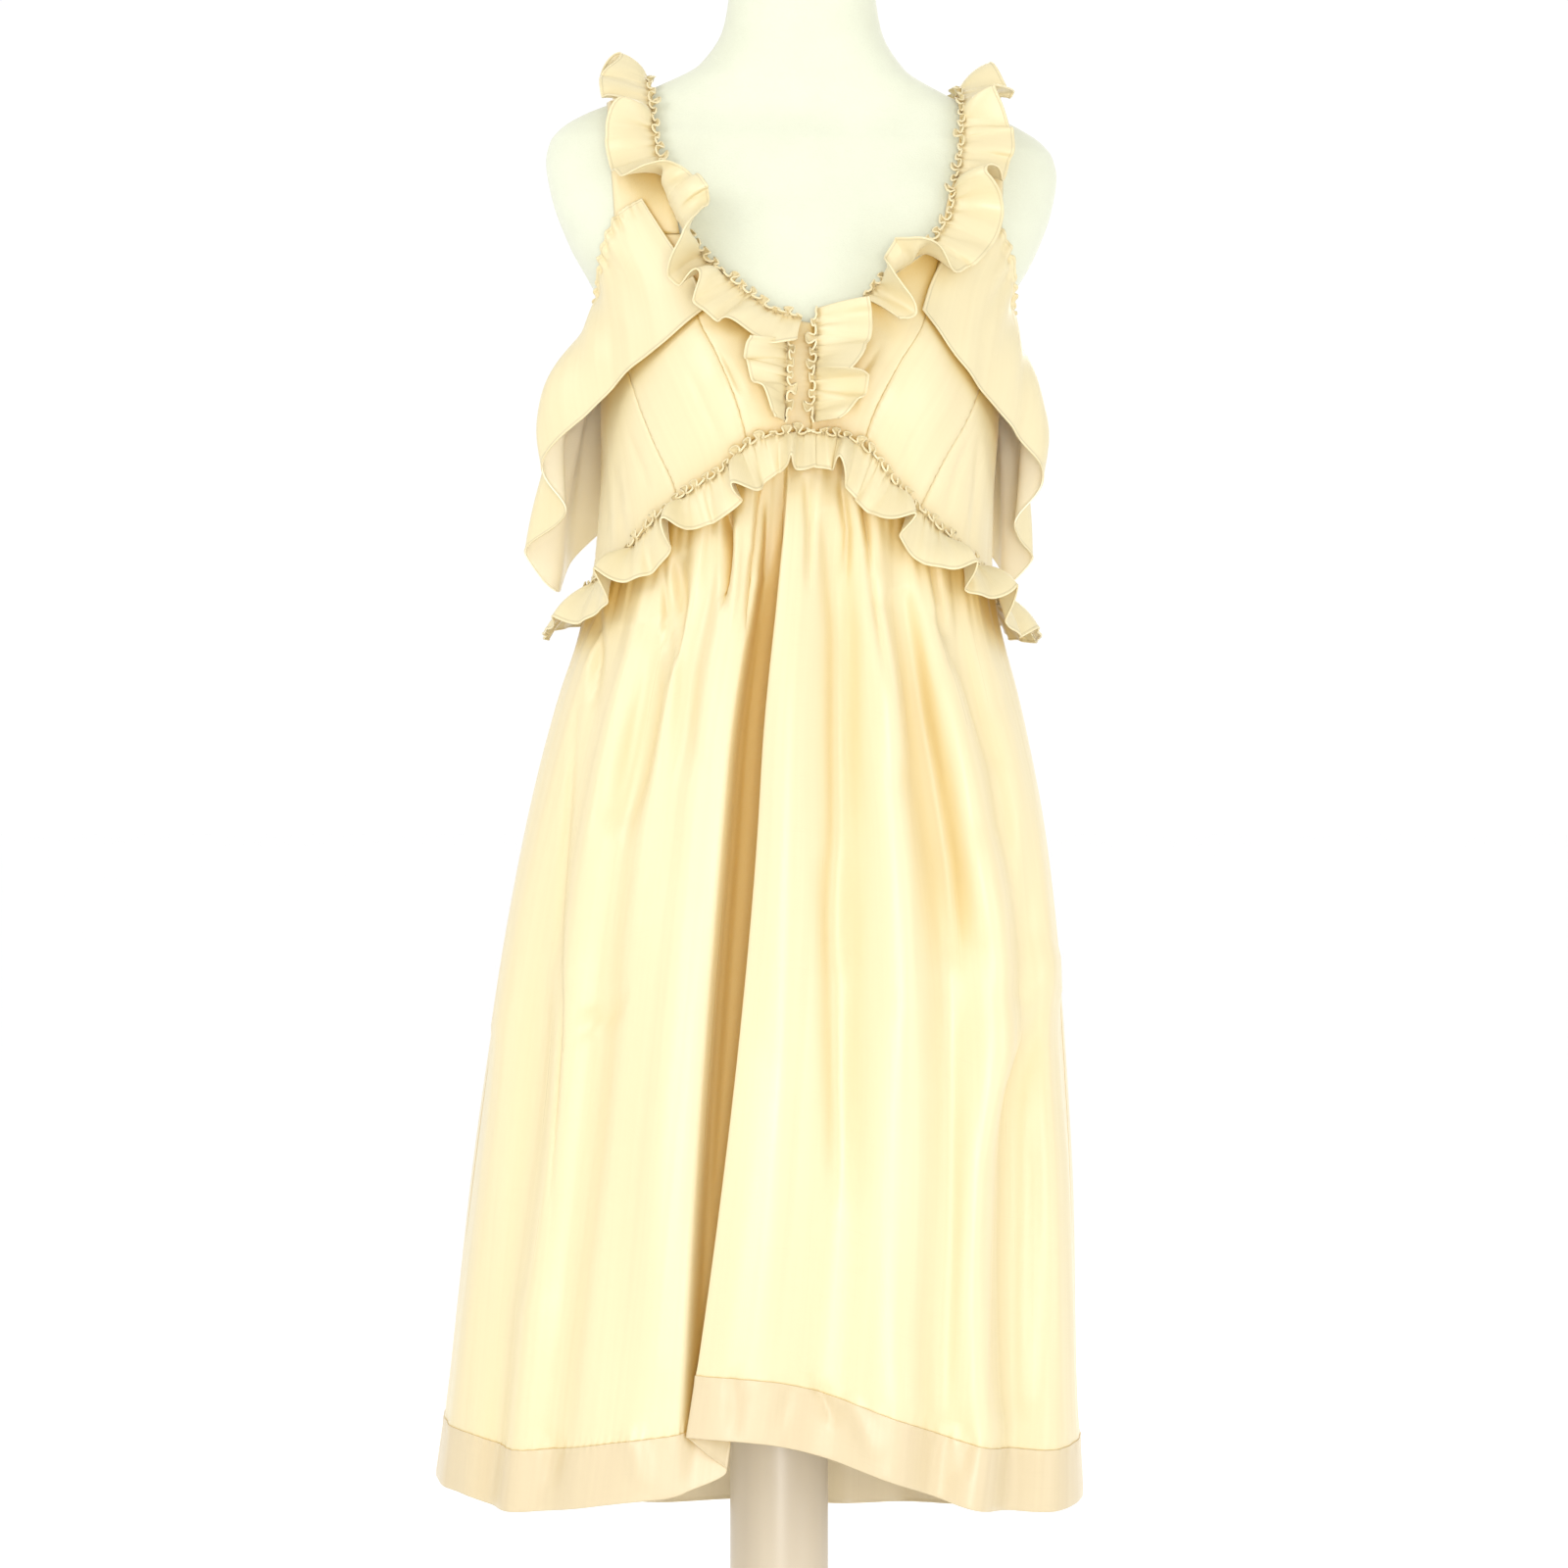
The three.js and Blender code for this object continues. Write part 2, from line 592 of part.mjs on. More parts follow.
// The flounce over each armhole: where it is gathered on, where its free edge hangs, how far that edge
// stands from the bodice, and how far the cloth between bows out.
const FLOUNCE_COLUMNS = ["fold", "angle", "z", "edgeAngle", "edgeZ", "out", "bow"];
const flounceFolds = {
  left: foldTable(FLOUNCE_COLUMNS, [
    ["inner front edge", 43, 1286, 27, 1224, 1, 0],
    ["front", 49, 1276, 41, 1198, 2, 2],
    ["front", 59, 1262, 55, 1178, 6, 4],
    ["front edge leaving", 72, 1241, 68, 1152, 18, 12],
    ["outermost fold", 81, 1222, 82, 1119, 42, 22],
    ["hollow", 88, 1207, 90, 1086, 22, 12],
    ["second fold", 95, 1204, 97, 1058, 50, 14],
    ["lowest tip", 104, 1212, 107, 1032, 30, 9],
    ["back fold", 112, 1228, 120, 1056, 42, 10],
    ["back", 121, 1252, 134, 1104, 16, 6],
    ["back", 129, 1274, 146, 1145, 5, 2],
    ["inner back edge", 137, 1290, 156, 1206, 1, 0],
  ]),
  right: foldTable(FLOUNCE_COLUMNS, [
    ["inner front edge", 43, 1286, 28, 1226, 1, 0],
    ["front", 49, 1276, 41, 1191, 2, 2],
    ["front", 59, 1262, 55, 1166, 6, 4],
    ["front edge leaving", 72, 1241, 68, 1144, 15, 9],
    ["outermost fold", 81, 1222, 82, 1112, 33, 15],
    ["hollow", 88, 1207, 90, 1080, 14, 8],
    ["second fold", 95, 1204, 97, 1056, 32, 10],
    ["lowest tip", 104, 1212, 107, 1036, 18, 6],
    ["back fold", 112, 1228, 120, 1060, 36, 9],
    ["back", 121, 1252, 134, 1108, 13, 5],
    ["back", 129, 1274, 146, 1148, 5, 2],
    ["inner back edge", 137, 1290, 156, 1206, 1, 0],
  ]),
};

function addFlounce(side, hand) {
  const folds = flounceFolds[side];
  const surface = (u0, v) => {
    const u = hand > 0 ? u0 : 1 - u0;
    const down = 1 - v;
    const angle = mix(folds("angle", u), folds("edgeAngle", u), down);
    const z = mix(folds("z", u), folds("edgeZ", u), down);
    const bow = folds("bow", u) * Math.sin(Math.PI * down);
    const out = FLOUNCE_LIFT + folds("out", u) * down ** 1.15 + bow;
    return lean(ringPoint(dressRing, hand * angle, z, out));
  };
  add(`flounce_${side}`, wall(surface, { across: 28, along: [0, 0.28, 0.54, 0.76, 0.9, 1] }), SILK);
}

// The skirt's folds, from side seam to side seam. Each row is a ridge or a hollow: its angle round the ring at
// the top, half way down and at the hem, how far it stands out there, and the height of the hem under it.
const SKIRT_COLUMNS = ["fold", "topAngle", "midAngle", "hemAngle", "topOut", "midOut", "hemOut", "hemZ"];
const skirtFront = foldTable(SKIRT_COLUMNS, [
  ["side seam", -90, -90, -90, 0, 0, 0, 387],
  ["ridge", -66, -67, -60, 1, 4, 3, 384],
  ["hollow", -52, -54, -52, -1, -4, -3, 379],
  ["ridge", -43, -44, -44, 2, 5, 4, 378],
  ["hollow", -34, -35, -36, -1, -5, -2, 380],
  ["ridge", -27, -28, -29, 2, 5, 3, 384],
  ["short gather", -22, -22, -24.5, -3, -2, 1, 387],
  ["ridge", -17.5, -17, -21, 2, 4, 3, 390],
  ["pleat lip", -10, -11.5, -15, 1, 2, 0, 394],
  ["pleat wall", -7.9, -8, -10, -5, -21, -8, 399],
  ["pleat inner fold", -6.2, -1, 2, -8, -30, -24, 411],
  ["pleat return", -5.1, -3.1, -3.8, -4, -10, -9, 424],
  ["pleat edge", -4.2, -4.5, -9.9, 2, 7, 4, 436],
  ["ridge", -1.6, 0.2, -2.4, 2, 10, 6, 434],
  ["hollow", 7, 11, 8, -2, -6, -3, 422],
  ["ridge", 14, 22, 20, 2, 6, 6, 404],
  ["hollow", 22, 33, 29, -2, -6, -3, 391],
  ["ridge", 31, 44, 36, 2, 6, 9, 382],
  ["hollow", 44, 55, 47, -1, -6, -5, 376],
  ["ridge", 60, 68, 61, 1, 4, 4, 372],
  ["side seam", 90, 90, 90, 0, 0, 0, 373],
]);
const skirtBack = foldTable(SKIRT_COLUMNS, [
  ["side seam", 90, 90, 90, 0, 0, 0, 373],
  ["ridge", 104, 104, 106, 2, 6, 7, 360],
  ["hollow", 117, 116, 119, -1, -5, -4, 350],
  ["ridge", 130, 130, 132, 2, 6, 8, 341],
  ["hollow", 143, 144, 142, -2, -6, -5, 335],
  ["ridge", 157, 156, 155, 2, 7, 7, 331],
  ["hollow", 168, 167, 168, -1, -4, -4, 330],
  ["ridge", 180, 181, 181, 2, 6, 8, 330],
  ["hollow", 194, 193, 195, -2, -6, -5, 331],
  ["ridge", 207, 208, 208, 2, 7, 7, 334],
  ["hollow", 220, 219, 222, -1, -5, -4, 340],
  ["ridge", 233, 234, 234, 2, 6, 8, 350],
  ["hollow", 246, 246, 247, -1, -4, -3, 362],
  ["ridge", 257, 258, 258, 1, 5, 5, 372],
  ["side seam", 270, 270, 270, 0, 0, 0, 387],
]);

// A value that passes through its three given ones at the top, half way down and the hem.
const downwards = (top, middle, hem, s) =>
  top * (1 - s) * (1 - 2 * s) + middle * 4 * s * (1 - s) + hem * s * (2 * s - 1);

// A point of the skirt: u round it, s from the seam under the bust, 0, to the hem, 1.
function skirtPoint(folds, u, s) {
  const topAngle = folds("topAngle", u);
  const z = mix(underBust(topAngle), folds("hemZ", u), s);
  const angle = downwards(topAngle, folds("midAngle", u), folds("hemAngle", u), s);
  const out = downwards(folds("topOut", u), folds("midOut", u), folds("hemOut", u), s);
  return lean(ringPoint(dressRing, angle, z, out * ease(s, 0, 0.12)));
}

const bandShare = (folds, u) => 1 - HEM_BAND / (underBust(folds("topAngle", u)) - folds("hemZ", u));

function addSkirt(side, folds, across) {
  const seams = [SEAM_GAP / 2, SEAM_GAP / 2, SEAM_GAP / 2, WAIST_GAP / 2];
  const free = [SEAM_GAP / 2, SEAM_GAP / 2, 0, SEAM_GAP / 2];
  const panelAbove = (u, v) => skirtPoint(folds, u, (1 - v) * bandShare(folds, u));
  const bandBelow = (u, v) => skirtPoint(folds, u, mix(1, bandShare(folds, u), v));
  add(`skirt_${side}`, wall(panelAbove, { across, along: 7, inset: seams }), SILK);
  add(`hem_band_${side}`, wall(bandBelow, { across, along: 1, inset: free }), BAND);
}

// The dress form: one smooth closed body from its flat underside to its plain flat neck.
function addForm() {
  const segments = 44;
  const heights = [700, 720, 780, 860, 930, 1000, 1060, 1110, 1160, 1200, 1240, 1260, 1280, 1298, 1315];
  heights.push(1328, 1340, 1347, 1354, 1359, 1364, 1369, 1374, 1379, 1384, 1390, 1396, 1405, 1414, 1443, 1475, 1492);
  const points = heights.flatMap((z) =>
    Array.from({ length: segments }, (_, i) => lean(ringPoint(formRing, (360 * i) / segments, z))),
  );
  const middle = (z) => lean(vec(0, 0, z));
  points.push(middle(heights[0]), middle(heights.at(-1)));
  const faces = [];
  const at = (row, i) => row * segments + (i % segments);
  for (let i = 0; i < segments; i += 1) {
    for (let row = 0; row < heights.length - 1; row += 1) {
      faces.push(at(row, i), at(row, i + 1), at(row + 1, i + 1), at(row, i), at(row + 1, i + 1), at(row + 1, i));
    }
    faces.push(at(0, i + 1), at(0, i), points.length - 2);
    faces.push(at(heights.length - 1, i), at(heights.length - 1, i + 1), points.length - 1);
  }
  const geometry = new THREE.BufferGeometry();
  geometry.setAttribute("position", new THREE.Float32BufferAttribute(points.flatMap((p) => p.toArray()), 3));
  geometry.setIndex(faces);
  geometry.computeVertexNormals();
  add("form_torso", geometry, FORM_COVER);
}

function addStand() {
  const bottom = BASE.height + SEAM_GAP;
  const column = new THREE.CylinderGeometry(COLUMN.radius, COLUMN.radius, COLUMN.top - bottom, 40);
  column.rotateX(Math.PI / 2).translate(0, 0, (COLUMN.top + bottom) / 2);
  add("form_column", column, STAND);
  const profile = [
    [0, 0],
    [BASE.radius, 0],
    [BASE.radius, BASE.height - BASE.edge],
    [BASE.radius - BASE.edge / 3, BASE.height - BASE.edge / 4],
    [BASE.radius - BASE.edge, BASE.height],
    [0, BASE.height],
  ].map(([r, z]) => new THREE.Vector2(r, z));
  add("form_base", new THREE.LatheGeometry(profile, 56).rotateX(Math.PI / 2), STAND);
}

for (const [side, hand] of [["left", -1], ["right", 1]]) {
  addFrontBodice(side, hand);
  addStrap(side, hand);
  addFlounce(side, hand);
}
addBackBodice();
addNeckRuffle("left", -1, 3);
addNeckRuffle("right", 1, 34);
addCentreRuffle("left", -1, 1195);
addCentreRuffle("right", 1, 1222);
addWaistRuffle("left", -0.6, -89.8, -1, 26);
addWaistRuffle("right", 0.6, 89.8, 1, 26);
addWaistRuffle("back", 90.2, 269.8, 1, 32);
addSkirt("front", skirtFront, 60);
addSkirt("back", skirtBack, 28);
addForm();
addStand();

export default dress;
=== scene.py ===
import math

import bpy
import numpy as np
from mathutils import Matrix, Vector


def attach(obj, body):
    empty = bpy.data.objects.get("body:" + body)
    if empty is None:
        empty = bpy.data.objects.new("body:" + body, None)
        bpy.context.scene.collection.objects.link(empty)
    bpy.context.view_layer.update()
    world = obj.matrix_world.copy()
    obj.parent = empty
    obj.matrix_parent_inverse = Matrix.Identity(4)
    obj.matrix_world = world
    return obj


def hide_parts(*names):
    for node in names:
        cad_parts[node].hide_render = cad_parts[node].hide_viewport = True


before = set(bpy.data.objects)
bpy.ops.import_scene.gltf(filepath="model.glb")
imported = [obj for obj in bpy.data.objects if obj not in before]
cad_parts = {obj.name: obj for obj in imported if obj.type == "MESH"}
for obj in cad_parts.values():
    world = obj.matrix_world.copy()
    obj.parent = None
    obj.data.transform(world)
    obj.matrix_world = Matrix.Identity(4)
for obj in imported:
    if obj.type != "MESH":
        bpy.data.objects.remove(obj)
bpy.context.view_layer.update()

# Lengths are in millimetres until a mesh is made. The dress's front is towards -Y, and +Z is up.
MM = 0.001
CLOTH = 0.7  # thickness of the silk as drawn, with its nap
HEM_ROLL = 1.5  # thickness of a rolled edge
CAD_WALL = 1.5  # thickness of the solids' cloth, which pieces that lie on others stay clear of
FLOUNCE_LIFT = CAD_WALL + 1.2
RUFFLE_LIFT = CAD_WALL + 0.75
STRAP_LIFT = CAD_WALL + 0.55
ROUNDNESS = 2.3  # exponent of the rings: 2 is an ellipse, more is squarer
BUST = {"out": 14, "x": 74, "wide": 44, "z": 1168, "tall": 48}
LEANING = {"tilt": 0.022, "tilt_from": 1000, "tilt_to": 1250, "turn": 4, "turn_from": 900, "turn_to": 1100}
HANDS = {"left": -1, "right": 1}  # the viewer's side and its sign along X
HEM_BAND = 43
STRAP = {"front": 1277, "back": 1300, "inner": 111, "outer": 143, "base_inner": 93, "base_outer": 138}
UNDERARM = 1195
NECK_RUFFLE = {"width": 35, "header": 7}
CENTRE_RUFFLE = {"width": 37, "header": 8}
WAIST_RUFFLE = {"width": 32, "header": 6, "fall": 0.45, "waves": 1.6}
FULLNESS = 1.35  # length of a ruffle's cut to the length of its seam

# The photo's scale and the camera that sees it that way.
CAMERA = {"x": 3.6, "z": 889, "distance": 2600, "view_degrees": 25}
PHOTO = {"middle": 800, "mm_per_pixel": 0.72}


def mix(a, b, t):
    return a + (b - a) * t


def ease(value, start, end):
    t = np.clip((value - start) / (end - start), 0, 1)
    return t * t * (3 - 2 * t)


def hill(distance, width):
    """One in the middle, dying away on both sides."""
    return np.exp(-((distance / width) ** 2))


def away_from_ends(place, length, first, margin):
    """Zero up to first from both ends of a length, and one from margin on."""
    return ease(place, first, margin) * ease(length - place, first, margin)


def signed_power(value, power):
    """The power of a value's size, with the value's sign."""
    return np.sign(value) * np.abs(value) ** power


class Table:
    """A curve through a table's rows, by the first column, that never swings past a row's value."""

    def __init__(self, columns, rows):
        data = np.array(rows, float)
        self.keys = data[:, 0]
        self.columns = {}
        for name, values in zip(columns, data.T):
            secant = np.diff(values) / np.diff(self.keys)
            slope = np.zeros(len(values))
            slope[0], slope[-1] = secant[0], secant[-1]
            before, after = secant[:-1], secant[1:]
            same = before * after > 0
            both = np.where(same, before + after, 1)
            slope[1:-1] = np.where(same, 2 * before * after / both, 0)
            self.columns[name] = (values, slope)

    def __call__(self, name, at):
        values, slope = self.columns[name]
        x = np.clip(at, self.keys[0], self.keys[-1])
        i = np.clip(np.searchsorted(self.keys, x, side="left") - 1, 0, len(self.keys) - 2)
        h = self.keys[i + 1] - self.keys[i]
        s = (x - self.keys[i]) / h
        rise = values[i + 1] - values[i]
        bend = (1 - s) * slope[i] - s * slope[i + 1]
        return values[i] + rise * s * s * (3 - 2 * s) + h * s * (1 - s) * bend


class Folds(Table):
    """Rows of folds in order, each with a name first, read from 0, the first row, to 1, the last."""

    def __init__(self, columns, rows):
        numbered = [[i, *row[1:]] for i, row in enumerate(rows)]
        super().__init__(["fold", *columns[1:]], numbered)

    def __call__(self, name, at):
        return super().__call__(name, np.asarray(at) * self.keys[-1])


form_ring = Table(["z", "half", "front", "back"], [
    [700, 158, 96, 106], [720, 165, 101, 112], [780, 170, 104, 117], [860, 162, 98, 114],
    [930, 142, 88, 97], [1000, 120, 82, 80], [1060, 123, 92, 78], [1110, 130, 100, 82],
    [1160, 138, 110, 90], [1200, 142, 112, 95], [1240, 150, 104, 98], [1280, 171, 92, 97],
    [1315, 184, 78, 90], [1340, 188, 67, 79], [1354, 185, 62, 73], [1364, 177, 57, 66],
    [1374, 161, 53, 61], [1384, 137, 51, 57], [1396, 108, 50, 55], [1414, 76, 50, 56],
    [1443, 58, 49, 58], [1475, 53, 47, 59], [1492, 52, 46, 59],
])
dress_ring = Table(["z", "half", "front", "back"], [
    [300, 241, 150, 158], [376, 236, 149, 155], [428, 231, 148, 152], [515, 225, 147, 150],
    [601, 219, 146, 147], [687, 211, 143, 144], [774, 201, 139, 139], [860, 188, 134, 132],
    [947, 169, 128, 121], [1020, 150, 119, 106], [1060, 145, 115, 100], [1110, 144, 113, 97],
    [1160, 146, 116, 97], [1200, 147, 117, 99], [1240, 153.5, 107, 101.5], [1280, 173.8, 94.8, 100],
    [1315, 186.8, 80.8, 93], [1340, 190.8, 69.8, 82],
])
lean_to = Table(["z", "shift"], [
    [300, -18], [385, -14.8], [471, -11], [600, -5.4], [730, 0], [860, 5], [947, 7], [1020, 9],
    [1140, 14.5], [1250, 17], [1492, 17],
])
waist_seam = Table(["angle", "left", "right"], [
    [0, 1137, 1137], [7, 1135, 1134], [14, 1129, 1124], [22, 1109, 1101], [33, 1092, 1078],
    [42, 1077, 1065], [49, 1063, 1056], [58, 1048, 1045], [72, 1033, 1032], [90, 1022, 1022],
])
back_top = Table(["from_centre", "z"], [
    [0, 1270], [12, 1274], [24, 1286], [33, 1300], [48, 1300], [56, 1272], [72, 1222], [90, 1195],
])


def lean(p):
    """Points as the form stands: turned, shifted sideways and tilted by their height."""
    z = p[..., 2]
    tilt = LEANING["tilt"] * ease(z, LEANING["tilt_from"], LEANING["tilt_to"])
    turn = np.radians(LEANING["turn"]) * ease(z, LEANING["turn_from"], LEANING["turn_to"])
    x = p[..., 0] * np.cos(turn) - p[..., 1] * np.sin(turn)
    y = p[..., 0] * np.sin(turn) + p[..., 1] * np.cos(turn)
    return np.stack([x + lean_to("shift", z), y, z - tilt * x], -1)


def ring_point(ring, angle, z, out=0.0):
    """A point of a ring by angle, 0 at the centre front and 90 at +X, moved out from it, before the lean."""
    angle, z, out = np.broadcast_arrays(np.radians(angle), z, out)
    sin, cos = np.sin(angle), np.cos(angle)
    half = ring("half", z)
    deep = np.where(cos > 0, ring("front", z), ring("back", z))
    x = half * signed_power(sin, 2 / ROUNDNESS)
    near_x = (np.abs(x) - BUST["x"]) / BUST["wide"]
    near_z = (z - BUST["z"]) / BUST["tall"]
    bust = np.where(cos > 0, BUST["out"] * np.exp(-near_x**2 - near_z**2) * cos, 0)
    y = -deep * signed_power(cos, 2 / ROUNDNESS) - bust
    away = np.stack([sin / half, -cos / deep], -1)
    away /= np.linalg.norm(away, axis=-1, keepdims=True)
    return np.stack([x + away[..., 0] * out, y + away[..., 1] * out, z], -1)


def angle_at(x, z):
    """The angle at which the dress's ring at a height is that far to the side."""
    share = np.minimum(1, np.abs(x) / dress_ring("half", z))
    return np.sign(x) * np.degrees(np.arcsin(share ** (ROUNDNESS / 2)))


def under_bust(angle):
    """The height of the seam under the bust, which differs a little from left to right."""
    turned = np.where(np.asarray(angle) > 180, np.asarray(angle) - 360, angle)
    size = np.abs(turned)
    return np.where(turned < 0, waist_seam("left", size), waist_seam("right", size))


def unit(v):
    return v / np.maximum(np.linalg.norm(v, axis=-1, keepdims=True), 1e-9)


def grid_normals(grid):
    return unit(np.cross(np.gradient(grid, axis=0), np.gradient(grid, axis=1)))


def raised(grid, amount):
    """The grid with each point moved along its normal."""
    return grid + grid_normals(grid) * amount[..., None]


def grid_of(across, down):
    """The two directions' places at each point of a grid."""
    return np.meshgrid(across, down, indexing="ij")


def wander(place, length, seed):
    """Small irregular waves that never repeat within a piece, from a few sines of unlike lengths."""
    a = np.sin(2 * np.pi * place / length + 1.7 * seed)
    b = np.sin(2 * np.pi * place / (length * 0.618) + 2.9 * seed + 0.6)
    c = np.sin(2 * np.pi * place / (length * 1.83) + 0.8 * seed + 2.1)
    return 0.5 * a + 0.28 * b + 0.4 * c


def gather_phase(place, pitch, seed):
    """The phase of uneven gathers whose pitch wanders."""
    drift = 1.5 * wander(place, 9.3 * pitch, seed) + 0.7 * wander(place, 3.1 * pitch, seed + 2)
    return 2 * np.pi * place / pitch + drift


def gathers(place, pitch, seed):
    return np.sin(gather_phase(place, pitch, seed))


def spline(points):
    """Catmull-Rom curve through rows of points, evenly spaced in its parameter."""
    rows = np.array(points, float)
    last = len(rows) - 1

    def at(s):
        p = np.clip(s, 0, 1) * last
        i = np.minimum(np.asarray(p).astype(int), last - 1)
        w = np.asarray(p - i)[..., None]
        p0, p1 = rows[np.maximum(i - 1, 0)], rows[i]
        p2, p3 = rows[i + 1], rows[np.minimum(i + 2, last)]
        v0, v1 = (p2 - p0) / 2, (p3 - p1) / 2
        return (2 * p1 - 2 * p2 + v0 + v1) * w**3 + (3 * p2 - 3 * p1 - 2 * v0 - v1) * w**2 + v0 * w + p1

    return at


class Line:
    """A line that a ruffle is gathered on, read from 0 to 1: its points, its direction, the way out."""

    def __init__(self, points, normals):
        fine = np.linspace(0, 1, 60 * len(points))
        path, out = spline(points)(fine), spline(normals)(fine)
        steps = np.linalg.norm(np.diff(path, axis=0), axis=1)
        self.place = np.concatenate([[0], np.cumsum(steps)])
        self.length = self.place[-1]
        self.path, self.out = path, unit(out)
        self.way = unit(np.gradient(path, axis=0))

    def __call__(self, u):
        at = np.asarray(u) * self.length

        def read(rows):
            return np.stack([np.interp(at, self.place, rows[:, k]) for k in range(3)], -1)

        return read(self.path), unit(read(self.way)), unit(read(self.out))


def on_dress(angle, z):
    """Points of the dress by angle and height, with their outward normals."""
    step = 1e-3

    def at(a, h):
        return lean(ring_point(dress_ring, a, h))

    across = at(angle + step, z) - at(angle - step, z)
    up = at(angle, z + step) - at(angle, z - step)
    return at(angle, z), unit(np.cross(across, up))


# Meshes
def cloth_mesh(node, grid, half, material, edge=None, cut_along=None, painted_backlight=False):
    """A thin closed shell on a grid of middle points, in place of a node. half is half its thickness, edge
    the distance to its free edge, and cut_along the distance along the cut, for its texture coordinates."""
    nu, nv = grid.shape[:2]
    normal = grid_normals(grid)
    half = np.broadcast_to(half, (nu, nv))[..., None]
    outer, inner = grid + normal * half, grid - normal * half
    points = np.concatenate([outer.reshape(-1, 3), inner.reshape(-1, 3)]) * MM
    ids = np.arange(nu * nv).reshape(nu, nv)
    under = ids + nu * nv

    def quads(a, b, c, d):
        return np.stack([a.ravel(), b.ravel(), c.ravel(), d.ravel()], -1)

    top = quads(ids[:-1, :-1], ids[1:, :-1], ids[1:, 1:], ids[:-1, 1:])
    bottom = quads(under[:-1, :-1], under[:-1, 1:], under[1:, 1:], under[1:, :-1])
    rims = [
        quads(under[:-1, 0], under[1:, 0], ids[1:, 0], ids[:-1, 0]),
        quads(ids[:-1, -1], ids[1:, -1], under[1:, -1], under[:-1, -1]),
        quads(ids[0, :-1], ids[0, 1:], under[0, 1:], under[0, :-1]),
        quads(under[-1, :-1], under[-1, 1:], ids[-1, 1:], ids[-1, :-1]),
    ]
    faces = np.concatenate([top, bottom, *rims])
    mesh = bpy.data.meshes.new(f"silk_{node}")
    mesh.from_pydata(points.tolist(), [], faces.tolist())
    along_u = np.concatenate([[0], np.cumsum(np.linalg.norm(np.diff(grid, axis=0), axis=2).mean(1))])
    along_v = np.concatenate([[0], np.cumsum(np.linalg.norm(np.diff(grid, axis=1), axis=2).mean(0))])
    if cut_along is not None:
        along_u = cut_along
    flat = np.stack(np.meshgrid(along_u * MM, along_v * MM, indexing="ij"), -1).reshape(-1, 2)
    flat = np.concatenate([flat, flat])
    corner = np.zeros(len(mesh.loops), int)
    mesh.loops.foreach_get("vertex_index", corner)
    mesh.uv_layers.new(name="cloth").data.foreach_set("uv", flat[corner].ravel())
    if edge is not None:
        distance = np.broadcast_to(edge, (nu, nv)).ravel()
        layer = mesh.attributes.new("edge_mm", "FLOAT", "POINT")
        layer.data.foreach_set("value", np.concatenate([distance, distance]).astype(np.float32))
    # Marks the inner skin, which the rolled-edge silk paints lighter: painted light, as if light shone
    # through.
    if painted_backlight:
        side = mesh.attributes.new("painted_backlight_side", "FLOAT", "POINT")
        side.data.foreach_set("value", np.repeat([0, 1], nu * nv).astype(np.float32))
    # A cut edge that is sewn in stays crisp; a rolled edge is round.
    smooth = np.ones(len(faces), bool)
    smooth[len(top) * 2:] = edge is not None
    mesh.polygons.foreach_set("use_smooth", smooth)
    mesh.update()
    return new_piece(mesh, node, material)


def placed(name, data):
    """A new object in the scene."""
    obj = bpy.data.objects.new(name, data)
    bpy.context.scene.collection.objects.link(obj)
    return obj


def new_piece(mesh, node, material):
    """The piece that wears a mesh and takes a node's place."""
    obj = placed(mesh.name, mesh)
    mesh.materials.append(material)
    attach(obj, "root")
    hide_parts(node)
    return obj


def ring_faces(rings, segments):
    """The quads between rings of points that are listed ring by ring."""
    faces = []
    for low in range(0, (rings - 1) * segments, segments):
        for i in range(segments):
            j = (i + 1) % segments
            faces.append((low + i, low + j, low + segments + j, low + segments + i))
    return faces


def rolled(distance):
    """Half the thickness of a piece by the distance from its rolled free edge."""
    round_end = np.sqrt(np.clip(distance / (HEM_ROLL / 2), 0.03, 1))
    return (CLOTH + (HEM_ROLL - CLOTH) * (1 - ease(distance, 0.9, 2.0))) / 2 * round_end


def rows_between(*stops):
    """Rows from stop to stop, each stop given with the number of rows that lead up to it."""
    rows = [stops[0][:1]]
    for (start, _), (end, count) in zip(stops, stops[1:]):
        rows.append(np.linspace(start, end, count + 1)[1:])
    return np.concatenate(rows)


